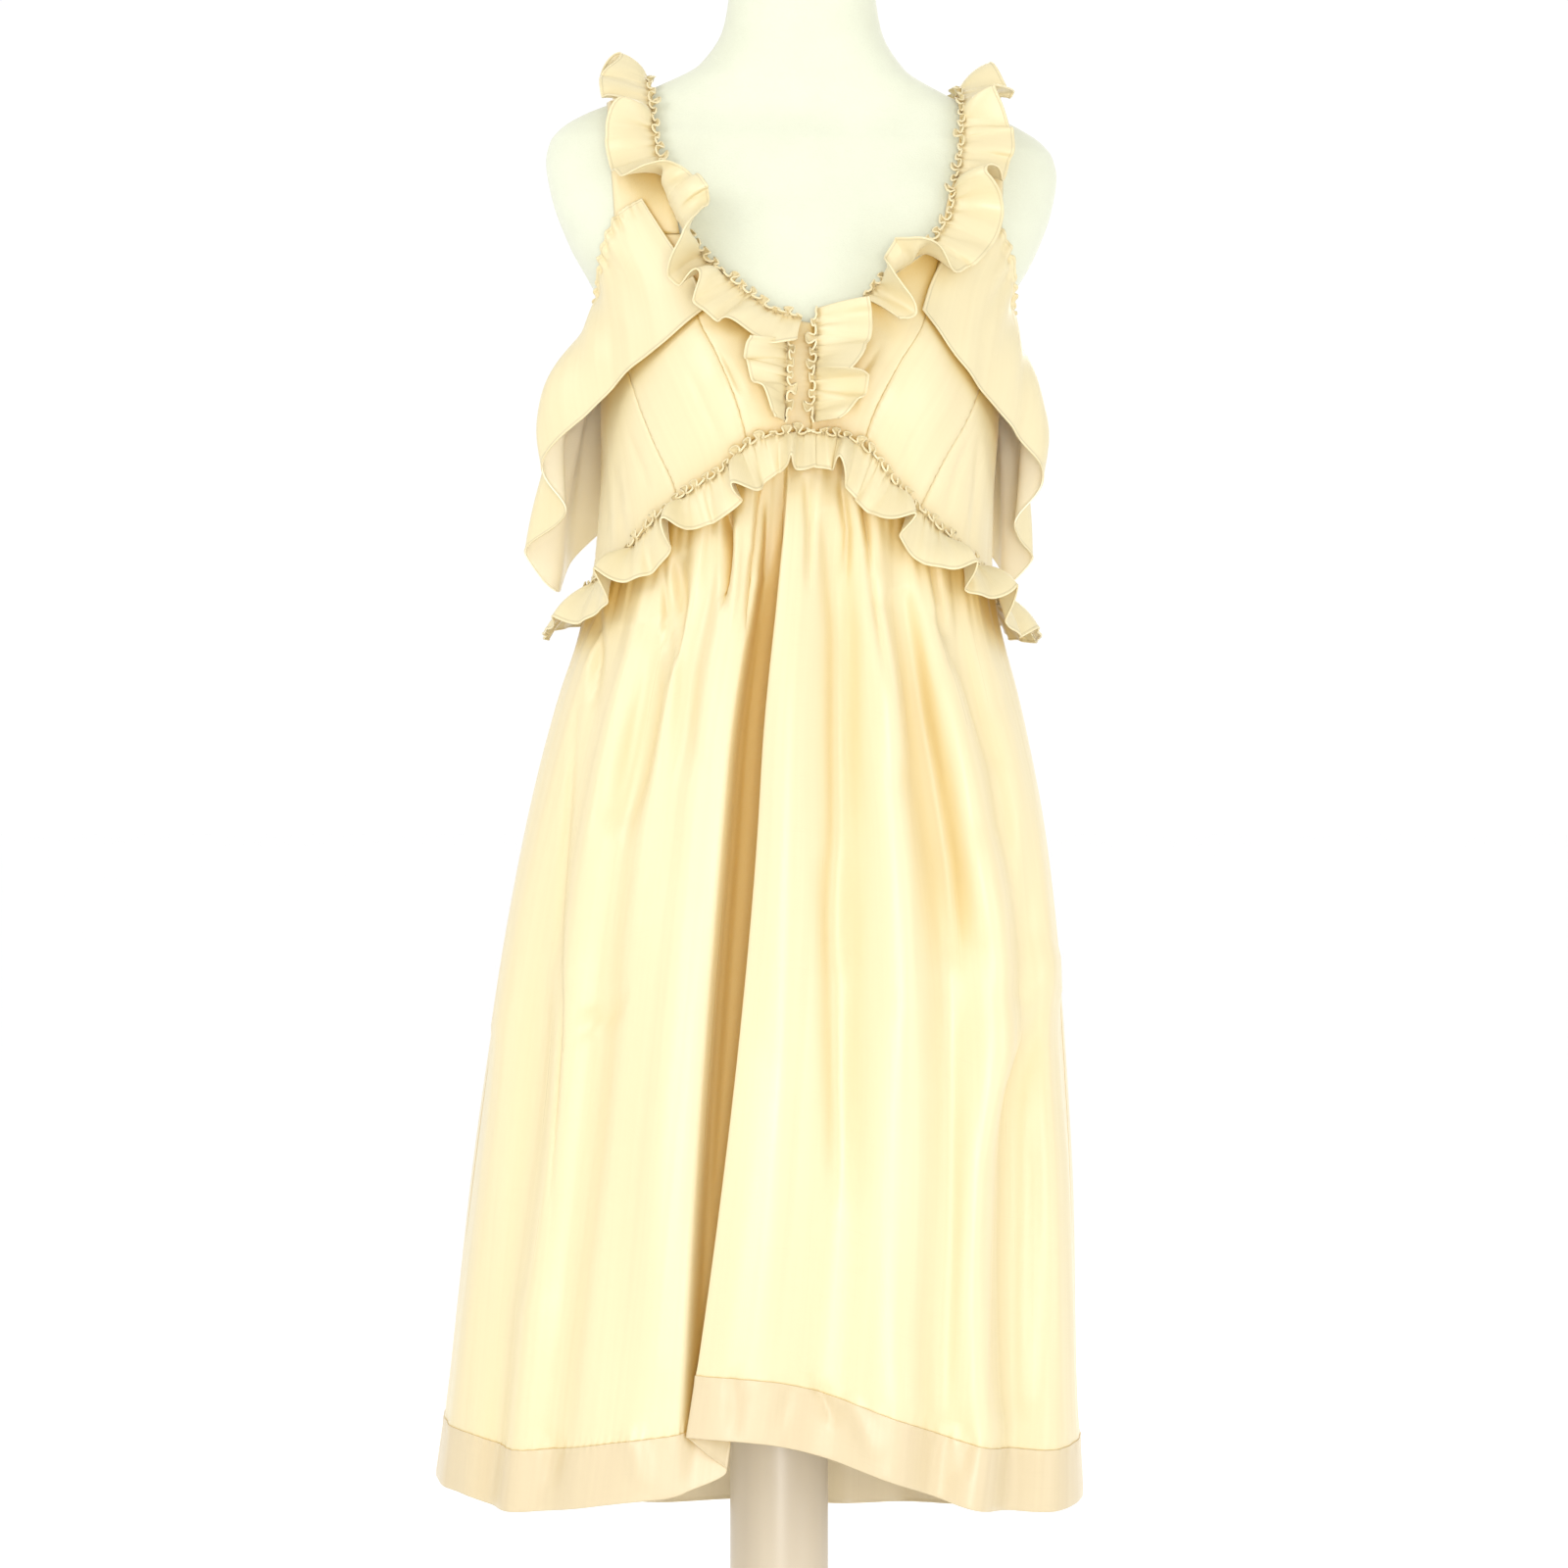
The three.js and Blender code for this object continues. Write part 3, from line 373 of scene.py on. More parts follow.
# Materials
class Nodes:
    """Adds nodes to a material and links them by name."""

    def __init__(self, name):
        self.material = bpy.data.materials.new(name)
        self.material.use_nodes = True
        self.tree = self.material.node_tree
        self.shader = self.tree.nodes["Principled BSDF"]

    def add(self, kind, inputs=None, **settings):
        node = self.tree.nodes.new(kind)
        for key, value in settings.items():
            setattr(node, key, value)
        for key, value in (inputs or {}).items():
            self.set(node.inputs[key], value)
        return node

    def set(self, socket, value):
        if isinstance(value, bpy.types.NodeSocket):
            self.tree.links.new(value, socket)
        else:
            socket.default_value = value

    def math(self, operation, a, b):
        return self.add("ShaderNodeMath", {0: a, 1: b}, operation=operation).outputs[0]

    def noise(self, vector, scale, detail=2.0, roughness=0.5):
        inputs = {"Vector": vector, "Scale": scale, "Detail": detail, "Roughness": roughness}
        return self.add("ShaderNodeTexNoise", inputs).outputs["Fac"]

    def bands(self, vector, scale, direction):
        inputs = {"Vector": vector, "Scale": scale, "Distortion": 1.2, "Detail": 1.0}
        node = self.add("ShaderNodeTexWave", inputs, wave_type="BANDS", bands_direction=direction)
        return node.outputs["Fac"]

    def scaled(self, vector, x, y, z=1.0):
        return self.add("ShaderNodeMapping", {"Vector": vector, "Scale": (x, y, z)}).outputs["Vector"]

    def ramp(self, value, low, high, start=0.0, end=1.0):
        inputs = {"Value": value, "From Min": start, "From Max": end, "To Min": low, "To Max": high}
        return self.add("ShaderNodeMapRange", inputs).outputs["Result"]

    def colours(self, share, first, second):
        node = self.add("ShaderNodeMix", {"Factor": share}, data_type="RGBA")
        for socket, colour in ((6, first), (7, second)):
            given = isinstance(colour, bpy.types.NodeSocket)
            self.set(node.inputs[socket], colour if given else (*colour, 1))
        return node.outputs[2]

    def surface(self, inputs):
        for name, value in inputs.items():
            self.set(self.shader.inputs[name], value)

    def bump(self, height, strength, distance):
        inputs = {"Strength": strength, "Distance": distance, "Height": height}
        return self.add("ShaderNodeBump", inputs).outputs["Normal"]

    def total(self, *parts):
        """The sum of outputs, each given with its factor."""
        (first, factor), *others = parts
        result = self.math("MULTIPLY", first, factor)
        for value, factor in others:
            result = self.math("ADD", result, self.math("MULTIPLY", value, factor))
        return result


def silk(name, light, deep, painted_soft_shade, hollow, sky_reach, stitching_and_backlight=False):
    """Satin-faced silk with a fine weave, warp streaks and slubs, and painted shade that deepens its colour
    in folds. The last flag adds a rolled edge's stitching and paints light on the inner skin, as if it shone
    through the silk.
    """
    n = Nodes(name)
    cloth = n.add("ShaderNodeUVMap", uv_map="cloth").outputs["UV"]
    streaks = n.noise(n.scaled(cloth, 170, 2.2), 1.0, 3.0, 0.6)
    broad = n.noise(n.scaled(cloth, 26, 3.0), 1.0, 2.0)
    slubs = n.noise(n.scaled(cloth, 24, 900), 1.0, 2.0)
    weave = n.math("MULTIPLY", n.bands(cloth, 420.0, "X"), n.bands(cloth, 380.0, "Y"))
    tone = n.total((streaks, 0.55), (broad, 0.45))
    colour = n.colours(n.ramp(tone, 0.0, 1.0, 0.3, 0.7), light, deep)
    colour = n.colours(n.ramp(slubs, 0.0, 0.25, 0.62, 0.8), colour, tuple(0.9 * c for c in deep))
    height = n.total((weave, 0.35), (slubs, 0.3), (streaks, 0.5))
    if stitching_and_backlight:
        edge = n.add("ShaderNodeAttribute", attribute_name="edge_mm").outputs["Fac"]
        stitch = n.math("MULTIPLY", n.ramp(edge, 0.0, 1.0, 1.6, 2.1), n.ramp(edge, 1.0, 0.0, 2.3, 2.9))
        colour = n.colours(n.math("MULTIPLY", stitch, 0.5), colour, tuple(0.62 * c for c in deep))
    # Painted shade: where the ambient occlusion finds folds, the colour is mixed towards the warm and hollow
    # shade colours, as light that reaches the bottom of a fold has passed from silk to silk, which deepens
    # its colour.
    open_sky = n.add("ShaderNodeAmbientOcclusion", {"Distance": sky_reach}, samples=6).outputs["AO"]
    colour = n.colours(n.ramp(open_sky, 0.0, 1.0, 0.45, 0.95), painted_soft_shade, colour)
    colour = n.colours(n.ramp(open_sky, 0.0, 1.0, 0.08, 0.55), hollow, colour)
    # Painted light: the inner skin is mixed towards a paler colour, as if light shone through the silk.
    if stitching_and_backlight:
        painted_backlight_side = n.add("ShaderNodeAttribute", attribute_name="painted_backlight_side").outputs["Fac"]
        colour = n.colours(painted_backlight_side, colour, PAINTED_BACKLIGHT)
    n.surface({
        "Base Color": colour,
        "Roughness": n.ramp(streaks, 0.27, 0.4, 0.3, 0.7),
        "Normal": n.bump(height, 0.22, 0.0006),
        "Specular IOR Level": 0.6,
        "Sheen Weight": 0.25,
        "Sheen Roughness": 0.35,
        "Sheen Tint": (1.0, 0.95, 0.8, 1),
    })
    return n.material


def jersey(name, light, deep, between_loops):
    """The form's tight white knitted cover."""
    n = Nodes(name)
    where = n.add("ShaderNodeTexCoord").outputs["Object"]
    knit = n.noise(n.scaled(where, 700, 700, 1100), 1.0, 2.0)
    cloud = n.noise(where, 22.0, 3.0)
    colour = n.colours(n.ramp(cloud, 0.0, 1.0, 0.35, 0.65), light, deep)
    colour = n.colours(n.ramp(knit, 0.0, 0.35, 0.45, 0.75), colour, between_loops)
    n.surface({
        "Base Color": colour,
        "Roughness": n.ramp(knit, 0.75, 0.9),
        "Normal": n.bump(knit, 0.3, 0.0005),
        "Sheen Weight": 0.3,
    })
    return n.material


def painted(name, light, deep, streaky):
    """The stand's satin off-white paint: drawn streaks on the column, soft clouds on the base."""
    n = Nodes(name)
    where = n.add("ShaderNodeTexCoord").outputs["Object"]
    drawn = n.noise(n.scaled(where, 34, 34, 0.9), 1.0, 2.0)
    tone = drawn if streaky else n.noise(where, 3.0, 3.0)
    colour = n.colours(n.ramp(tone, 0.0, 1.0, 0.34, 0.66), light, deep)
    peel = n.noise(where, 900.0, 2.0)
    n.surface({
        "Base Color": colour,
        "Roughness": n.ramp(drawn, 0.28, 0.42, 0.3, 0.7),
        "Normal": n.bump(peel, 0.12, 0.0003),
    })
    return n.material


# Painted shade: how the silk's colour deepens in soft hollows, and at the bottom of the deepest folds.
PAINTED_SOFT_SHADE, PAINTED_FOLD_SHADE = (0.7, 0.555, 0.27), (0.62, 0.36, 0.045)
PAINTED_BACKLIGHT = (0.97, 0.9, 0.71)  # painted light: the dull inner face of the flounces, brightened as if light shone through it
SILK = silk(
    "silk",
    light=(0.72, 0.625, 0.385),
    deep=(0.675, 0.575, 0.345),
    painted_soft_shade=PAINTED_SOFT_SHADE,
    hollow=PAINTED_FOLD_SHADE,
    sky_reach=0.05,
)
EDGED_SILK = silk(
    "silk_rolled_edge",
    light=(0.7, 0.615, 0.38),
    deep=(0.655, 0.565, 0.34),
    painted_soft_shade=(0.69, 0.57, 0.31),
    hollow=(0.66, 0.53, 0.28),
    sky_reach=0.02,
    stitching_and_backlight=True,
)
# Painted shade: the band is the same silk with darker colours, for the duller sheen and shade it shows at the
# hem.
SHADED_BAND_SILK = silk(
    "silk_doubled_band_painted_shade",
    light=(0.63, 0.525, 0.33),
    deep=(0.59, 0.48, 0.3),
    painted_soft_shade=(0.61, 0.475, 0.24),
    hollow=PAINTED_FOLD_SHADE,
    sky_reach=0.05,
)
COVER = jersey(
    "form_cover",
    light=(0.655, 0.672, 0.53),
    deep=(0.63, 0.645, 0.505),
    between_loops=(0.6, 0.6, 0.47),
)
PAINT_COLOURS = {"light": (0.64, 0.55, 0.41), "deep": (0.57, 0.485, 0.36)}
COLUMN_PAINT = painted("column_paint", **PAINT_COLOURS, streaky=True)
BASE_PAINT = painted("base_paint", **PAINT_COLOURS, streaky=False)


# Creases
CREASE_STRENGTH = 2.3


def seen_in_photo(points):
    """Where the photo's camera sees each point, in pixels, and the millimetres to a pixel there."""
    scale = PHOTO["mm_per_pixel"] * (CAMERA["distance"] + points[..., 1]) / CAMERA["distance"]
    x = PHOTO["middle"] + (points[..., 0] - CAMERA["x"]) / scale
    y = PHOTO["middle"] - (points[..., 2] - CAMERA["z"]) / scale
    return x, y, scale


def crease(x, z, scale, line, left, right, depth):
    """How far a soft trough along a line of places in a view pushes each point in. left and right are its
    widths in millimetres to either side, and a depth below zero makes it a ridge."""
    line = np.array(line, float)
    lengths = np.linalg.norm(np.diff(line, axis=0), axis=1)
    start = np.concatenate([[0], np.cumsum(lengths)])
    best = np.full(x.shape, 1e9)
    share = np.zeros(x.shape)
    signed = np.zeros(x.shape)
    for k in range(len(line) - 1):
        (ax, az), (bx, bz) = line[k], line[k + 1]
        t = np.clip(((x - ax) * (bx - ax) + (z - az) * (bz - az)) / lengths[k] ** 2, 0, 1)
        dx, dz = x - mix(ax, bx, t), z - mix(az, bz, t)
        far = np.hypot(dx, dz)
        nearer = far < best
        best = np.where(nearer, far, best)
        share = np.where(nearer, (start[k] + t * lengths[k]) / start[-1], share)
        signed = np.where(nearer, dx, signed)
    width = np.where(signed < 0, left, right)
    fade = np.sin(np.pi * np.clip(share, 0, 1)) ** 0.6
    return -CREASE_STRENGTH * depth * fade * hill(best * scale, width)


def pushed(grid, creases, side):
    """The grid with creases pressed into it where it faces their view, the photo's or the one from behind."""
    normal = grid_normals(grid)
    view = seen_in_photo(grid) if side == "front" else (grid[..., 0], grid[..., 2], 1.0)
    amount = np.zeros(grid.shape[:2])
    for row in creases:
        amount += crease(*view, *row)
    # A pleat's hidden layers, which face sideways or inwards, stay where they are.
    outwards = unit(grid * [1, 1, 0])
    amount *= ease((normal * outwards).sum(axis=-1), 0.1, 0.6)
    facing = ease(-grid[..., 1] if side == "front" else grid[..., 1], -5, 25)
    return grid + normal * (amount * facing)[..., None]


# The photo's creases: a line of photo pixels, the width in millimetres to its left and right, and its depth.
SKIRT_CREASES = [
    ([(741, 515), (742, 560), (738, 612)], 3, 3.5, 5.5),
    ([(752, 520), (751, 580), (746, 640)], 3, 3, -1.5),
    ([(609, 615), (610, 660), (606, 720)], 5, 4, 2.5),
    ([(676, 575), (679, 620), (678, 700)], 2.2, 2.5, 1.6),
    ([(668, 640), (660, 720), (648, 790), (632, 850)], 20, 9, 4.5),
    ([(700, 560), (698, 640), (700, 790)], 14, 9, 2),
    ([(592, 680), (586, 755), (571, 938), (567, 1060), (560, 1250)], 3, 2.5, 1.5),
    ([(572, 1060), (600, 1046), (640, 1018)], 5, 5, 1.8),
    ([(560, 1000), (548, 1150), (540, 1330)], 16, 20, 2.5),
    ([(640, 960), (626, 1150), (622, 1380)], 30, 26, 2),
    ([(690, 900), (672, 1100), (662, 1420)], 24, 20, -1.5),
    ([(505, 1050), (492, 1220), (486, 1430)], 12, 16, 2.5),
    ([(842, 520), (856, 640), (857, 820), (852, 1000)], 7, 12, 3.8),
    ([(846, 870), (852, 960), (856, 1112), (860, 1230)], 8, 14, 3),
    ([(812, 500), (806, 640), (800, 820), (790, 1080)], 12, 14, -2),
    ([(918, 600), (930, 660), (941, 730), (955, 800), (968, 880), (978, 985)], 15, 8, 5),
    ([(900, 620), (912, 700), (926, 790)], 10, 10, -2.5),
    ([(962, 680), (985, 780), (996, 870), (1000, 960)], 9, 14, -2.5),
    ([(884, 560), (893, 610), (905, 700)], 3, 3, 2),
    ([(955, 620), (985, 690), (1012, 790)], 5, 7, 2),
    ([(990, 850), (1010, 930), (1030, 1010)], 10, 14, -3),
    ([(1076, 965), (1040, 1040), (1014, 1110), (1000, 1190), (994, 1280), (992, 1450)], 32, 10, -4.5),
    ([(1074, 1010), (1050, 1080), (1034, 1170), (1027, 1290), (1024, 1450)], 15, 36, 6),
    ([(935, 1030), (928, 1200), (930, 1420)], 18, 22, 2.5),
    ([(964, 1120), (956, 1280), (950, 1440)], 14, 16, 1.5),
    ([(1022, 720), (1034, 830), (1036, 950)], 10, 10, -2.5),
    ([(770, 560), (768, 590), (764, 640)], 3.5, 3.5, 2),
    ([(779, 478), (777, 530), (773, 590)], 4, 5, 5),
    ([(881, 490), (884, 530), (890, 580)], 3, 4, 3),
    ([(693, 566), (691, 610), (688, 670)], 4, 4, 3),
    ([(823, 485), (826, 540), (824, 600)], 3, 3, 2.2),
    ([(858, 490), (864, 540), (862, 590)], 2.5, 3, 2.2),
    ([(948, 560), (957, 600), (966, 650)], 3, 3, 2),
    # The doubled band's pull at its seam.
    ([(826, 1400), (838, 1424), (854, 1456)], 4, 5, 1.5),
    ([(806, 1402), (802, 1430), (794, 1464)], 4, 4, 1.1),
    ([(744, 1396), (752, 1430), (748, 1470)], 6, 5, 1.1),
    ([(862, 1424), (878, 1450), (892, 1490)], 5, 7, -1.3),
    ([(980, 1440), (986, 1474), (982, 1510)], 6, 6, 1.1),
    ([(560, 1452), (566, 1484), (560, 1520)], 6, 6, 1.2),
    ([(638, 1452), (648, 1486), (656, 1520)], 6, 8, -1.2),
]
# The hidden side has creases like the front's, their lines by x and height in millimetres.
BACK_CREASES = [
    ([(-92, 985), (-96, 880), (-108, 740)], 9, 7, 4.5),
    ([(-48, 1000), (-46, 900), (-52, 780), (-58, 640)], 8, 12, 5),
    ([(-4, 1000), (2, 930), (0, 830)], 5, 6, 4),
    ([(36, 995), (44, 860), (48, 700), (40, 560)], 12, 8, 5),
    ([(86, 980), (98, 870), (120, 730)], 7, 9, 4.5),
    ([(-150, 760), (-168, 600), (-178, 430)], 14, 10, 5),
    ([(-100, 640), (-112, 500), (-118, 380)], 12, 14, 4),
    ([(-20, 680), (-26, 520), (-24, 370)], 14, 14, -3.5),
    ([(96, 660), (104, 520), (104, 380)], 12, 14, 4.5),
    ([(160, 700), (166, 560), (164, 420)], 9, 12, 4),
    ([(60, 990), (64, 950), (62, 900)], 4, 4, 3),
    ([(-70, 990), (-72, 950), (-74, 910)], 4, 4, 3),
]


# The skirt
SKIRT_COLUMNS = ["fold", "top_angle", "mid_angle", "hem_angle", "top_out", "mid_out", "hem_out", "hem_z"]
skirt_front = Folds(SKIRT_COLUMNS, [
    ["side seam", -90, -90, -90, 0, 0, 0, 387],
    ["ridge", -66, -67, -60, 1, 4, 3, 384],
    ["hollow", -52, -54, -52, -1, -4, -3, 379],
    ["ridge", -43, -44, -44, 2, 5, 4, 378],
    ["hollow", -34, -35, -36, -1, -4, -1, 380],
    ["ridge", -27, -28, -29, 2, 4, 2.4, 384],
    ["short gather", -22, -22, -24.5, -3, 1.5, 2.7, 387],
    ["ridge", -17.5, -17, -19.5, 2, 4, 3, 390],
    ["pleat lip", -10, -11.5, -12, 1, 2, 1, 394],
    ["pleat wall", -7.9, -8, -9, -5, -22, -1, 399],
    ["pleat inner fold", -6.2, -1, -4, -8, -31, -4, 411],
    ["pleat return", -5.1, -3.1, -7, -4, -10, -0.5, 424],
    ["pleat edge", -4.2, -4.5, -10.1, 2, 7, 2.5, 436],
    ["ridge", -1.6, 0.2, -2.4, 2, 10, 6, 434],
    ["hollow", 7, 11, 8, -2, -6, -3, 422],
    ["ridge", 14, 22, 20, 2, 6, 6, 404],
    ["hollow", 22, 33, 29, -2, -6, -3, 391],
    ["ridge", 31, 44, 36, 2, 6, 9, 382],
    ["hollow", 44, 55, 47, -1, -6, -5, 376],
    ["ridge", 60, 68, 61, 1, 4, 4, 372],
    ["side seam", 90, 90, 90, 0, 0, 0, 373],
])
skirt_back = Folds(SKIRT_COLUMNS, [
    ["side seam", 90, 90, 90, 0, 0, 0, 373],
    ["ridge", 104, 104, 106, 2, 6, 7, 360],
    ["hollow", 117, 116, 119, -1, -5, -4, 350],
    ["ridge", 130, 130, 132, 2, 6, 8, 341],
    ["hollow", 143, 144, 142, -2, -6, -5, 335],
    ["ridge", 157, 156, 155, 2, 7, 7, 331],
    ["hollow", 168, 167, 168, -1, -4, -4, 330],
    ["ridge", 180, 181, 181, 2, 6, 8, 330],
    ["hollow", 194, 193, 195, -2, -6, -5, 331],
    ["ridge", 207, 208, 208, 2, 7, 7, 334],
    ["hollow", 220, 219, 222, -1, -5, -4, 340],
    ["ridge", 233, 234, 234, 2, 6, 8, 350],
    ["hollow", 246, 246, 247, -1, -4, -3, 362],
    ["ridge", 257, 258, 258, 1, 5, 5, 372],
    ["side seam", 270, 270, 270, 0, 0, 0, 387],
])


SKIRTS = {
    "front": {"folds": skirt_front, "columns": 300, "creases": SKIRT_CREASES},
    "back": {"folds": skirt_back, "columns": 240, "creases": BACK_CREASES},
}
FOLD_GAIN = 1.2  # how much higher the shallow folds stand than their table says
TOP_MM_PER_DEGREE = 2.4
HEM_MM_PER_DEGREE = 3.4
SKIRT_ROUND = 560  # half the skirt's girth, about
SKIRT_DROP = 660  # height of the skirt, about, which turns shares of it into millimetres
BAND_DROP = 650  # the same for the band
# Gathers under the bust: pitch in millimetres, share of the height they reach down to, height, seed.
SKIRT_GATHERS = [
    (9.0, 0.04, 1.2, 3),
    (19.0, 0.09, 1.3, 5),
    (41.0, 0.2, 0.9, 8),
]


def downwards(top, middle, hem, s):
    """The parabola through a value at the top, one halfway down and one at the hem."""
    return top * (1 - s) * (1 - 2 * s) + middle * 4 * s * (1 - s) + hem * s * (2 * s - 1)


def warp_waves(angle, s):
    """Soft shallow undulations along the warp, which wander as they go down."""
    around = angle * HEM_MM_PER_DEGREE
    drift = 22 * np.sin(1.3 * np.pi * s + 0.02 * around)
    waves = 1.5 * wander(around + drift, 96.0, 3) + 0.2 * wander(around - drift, 31.0, 6)
    return ease(s, 0.03, 0.2) * waves


def skirt_gathers(top_angle, s):
    """Gathers that fade as they go down from the seam under the bust."""
    place = top_angle * TOP_MM_PER_DEGREE
    out = 0.0
    for pitch, reach, height, seed in SKIRT_GATHERS:
        fade = ease(s, 0, 0.012) * np.exp(-((s / reach) ** 1.3))
        uneven = 0.7 + 0.5 * wander(place, pitch * 2.3, seed + 1)
        out = out + height * fade * uneven * gathers(place, pitch, seed)
    return out


def skirt_surface(folds, u, s):
    """The skirt by u round it and s from the seam under the bust, 0, to the hem, 1."""
    top_angle = folds("top_angle", u)
    z = mix(under_bust(top_angle), folds("hem_z", u), s)
    angle = downwards(top_angle, folds("mid_angle", u), folds("hem_angle", u), s)
    out = downwards(folds("top_out", u), folds("mid_out", u), folds("hem_out", u), s)
    # The pleat's deep layers stay where the table has them.
    deep = ease(-out, 8, 16)
    out = out * mix(FOLD_GAIN, 1.0, deep) * ease(s, 0, 0.12)
    inside = away_from_ends(u, 1, 0, 0.04)
    out = out + inside * (warp_waves(angle, s) + skirt_gathers(top_angle, s))
    return lean(ring_point(dress_ring, angle, z, out))


def seam_puckers(height, distance, u):
    """Small puckers at the band's seam, by the distance from it and by u round the skirt."""
    return height * hill(distance, 5) * gathers(u * SKIRT_ROUND, 8, 4)


def add_skirt(side, folds, columns, creases):
    """The front or the back of the skirt, with its band."""
    u = np.linspace(0, 1, columns)[:, None]
    band = 1 - HEM_BAND / (under_bust(folds("top_angle", u)) - folds("hem_z", u))
    # The rows go up from the band's seam to the seam under the bust.
    s = rows_between((1.003, 0), (0.98, 5), (0.12, 66), (0, 30))[None, :] * band
    grid = pushed(skirt_surface(folds, u, s), creases, side)
    grid = raised(grid, seam_puckers(0.5, np.abs(s - band) * SKIRT_DROP, u))
    skirt = cloth_mesh(f"skirt_{side}", grid, CLOTH / 2, SILK)
    add_band(side, folds, creases, u, band)


def add_band(side, folds, creases, u, band):
    """The doubled band below a skirt, up to the share of the skirt's height at which it is sewn on."""
    t = rows_between((0, 0), (0.08, 4), (0.9, 10), (1, 5))[None, :]
    s = mix(1.0, band - 0.15 / BAND_DROP, t)
    grid = pushed(skirt_surface(folds, u, s), creases, side)
    from_hem = (1 - s) * BAND_DROP
    from_seam = from_hem - HEM_BAND
    roll = 0.8 * hill(from_hem, 1.6) + 0.3 * hill(from_seam, 1.2)
    grid = raised(grid, 0.55 + seam_puckers(0.55, from_seam + 1.5, u) - 0.6 * roll)
    half = (CLOTH * 1.5 + 0.5 * roll) / 2
    cloth = cloth_mesh(f"hem_band_{side}", grid, half, SHADED_BAND_SILK)


# The bodice
STRAP_CORNER = [STRAP["base_inner"], STRAP["front"]]
ARMHOLE = [[142, 1262], [STRAP["base_outer"], STRAP["front"]]]
LINES = {
    "left": {
        "neckline": [[0, 1213], [30, 1220], [54, 1240], [76, 1262], STRAP_CORNER],
        "princess": [[44, 1128], [54, 1158], [68, 1189], [81, 1216], [88, 1250], STRAP_CORNER],
        "side_front": [[90, 1089], [96, 1104], [108, 1127], [118, 1150], [130, 1185], [143, 1222]],
    },
    "right": {
        "neckline": [[0, 1213], [30, 1228], [54, 1248], [76, 1265], STRAP_CORNER],
        "princess": [[37, 1129], [45, 1154], [60, 1185], [78, 1216], [87, 1250], STRAP_CORNER],
        "side_front": [[80, 1080], [88, 1100], [100, 1125], [114, 1150], [128, 1185], [143, 1222]],
    },
}
BUST_SEAM_SHARE = 0.75  # how much of the bust panel's outer edge is sewn to the side front
# Rows across and up, what was cut in metres and square metres, and the edges that don't dip.
FRONT_PANELS = {
    "centre": {"nu": 40, "nv": 60, "flat": (0.105, 0.17), "area": 0.0098, "level": ("left",)},
    "bust": {"nu": 60, "nv": 90, "flat": (0.1, 0.225), "area": 0.0147, "level": ("top",)},
    "side": {"nu": 60, "nv": 64, "flat": (0.14, 0.19), "area": 0.0153, "level": ()},
}
# Tension lines, in rows like the skirt's creases.
BODICE_CREASES = [
    ([(716, 350), (742, 372), (758, 402)], 3, 3, 0.55),
    ([(705, 380), (722, 420), (738, 455)], 4, 3, 0.45),
    ([(640, 440), (652, 470), (664, 505)], 3, 3, 0.6),
    ([(625, 470), (632, 520), (640, 560)], 4, 4, 0.75),
    ([(612, 440), (617, 500), (620, 570)], 4, 3, 0.65),
    ([(900, 350), (880, 380), (868, 420)], 3, 3, 0.5),
    ([(988, 450), (975, 490), (962, 530)], 3, 4, 0.7),
    ([(1000, 440), (996, 500), (990, 560)], 3, 3, 0.75),
    ([(930, 440), (925, 470), (918, 500)], 4, 4, 0.45),
]


def front_line(points):
    """A curve of angle and height through places given by x and height."""
    return spline([[float(angle_at(x, z)), z] for x, z in points])


def line_from_seam(points, hand):
    """The same for a line whose first point is moved to the seam under the bust."""
    x, near = points[0]
    foot = float(under_bust(hand * angle_at(x, near)))
    return front_line([[x, foot], *points[1:]])


def coons(bottom, top, left, right):
    """The patch between four lines of angle and height, by u across and v up."""
    ends = np.array(0.0), np.array(1.0)
    corners = [line(end) for line in (bottom, top) for end in ends]

    def patch(u, v):
        u1, v1 = u[..., None], v[..., None]
        flat = mix(mix(corners[0], corners[1], u1), mix(corners[2], corners[3], u1), v1)
        return mix(bottom(u), top(u), v1) + mix(left(v), right(v), u1) - flat

    return patch


def front_patches(side, hand):
    """The patches of the front panels of one side."""
    lines = LINES[side]
    princess = line_from_seam(lines["princess"], hand)
    side_front = line_from_seam(lines["side_front"], hand)
    armhole = front_line([lines["side_front"][-1], *ARMHOLE])
    neck = front_line(lines["neckline"])
    neck_z = lines["neckline"][0][1]
    foot, side_foot = princess(np.array(0.0))[0], side_front(np.array(0.0))[0]
    armhole_angle, armhole_z = side_front(np.array(1.0))

    def seam(start, end):
        def at(s):
            angle = mix(start, end, s)
            return np.stack([angle, under_bust(hand * angle)], -1)

        return at

    def centre(s):
        return np.stack([0 * s, mix(float(under_bust(0)), neck_z, s)], -1)

    def outer(s):
        low = side_front(np.clip(s / BUST_SEAM_SHARE, 0, 1))
        high = armhole(np.clip((s - BUST_SEAM_SHARE) / (1 - BUST_SEAM_SHARE), 0, 1))
        return np.where(np.asarray(s)[..., None] < BUST_SEAM_SHARE, low, high)

    def underarm(s):
        return np.stack([mix(armhole_angle, 90, s), mix(armhole_z, UNDERARM, np.sin(s * np.pi / 2))], -1)

    def side_seam(s):
        return np.stack([90 + 0 * s, mix(float(under_bust(90)), UNDERARM, s)], -1)

    def strap_base(s):
        x = mix(STRAP["base_inner"], STRAP["base_outer"], s)
        z = STRAP["front"] + 0 * x
        return np.stack([angle_at(x, z), z], -1)

    return {
        "centre": coons(seam(0, foot), neck, centre, princess),
        "bust": coons(seam(foot, side_foot), strap_base, princess, outer),
        "side": coons(seam(side_foot, 90), underarm, side_front, side_seam),
    }


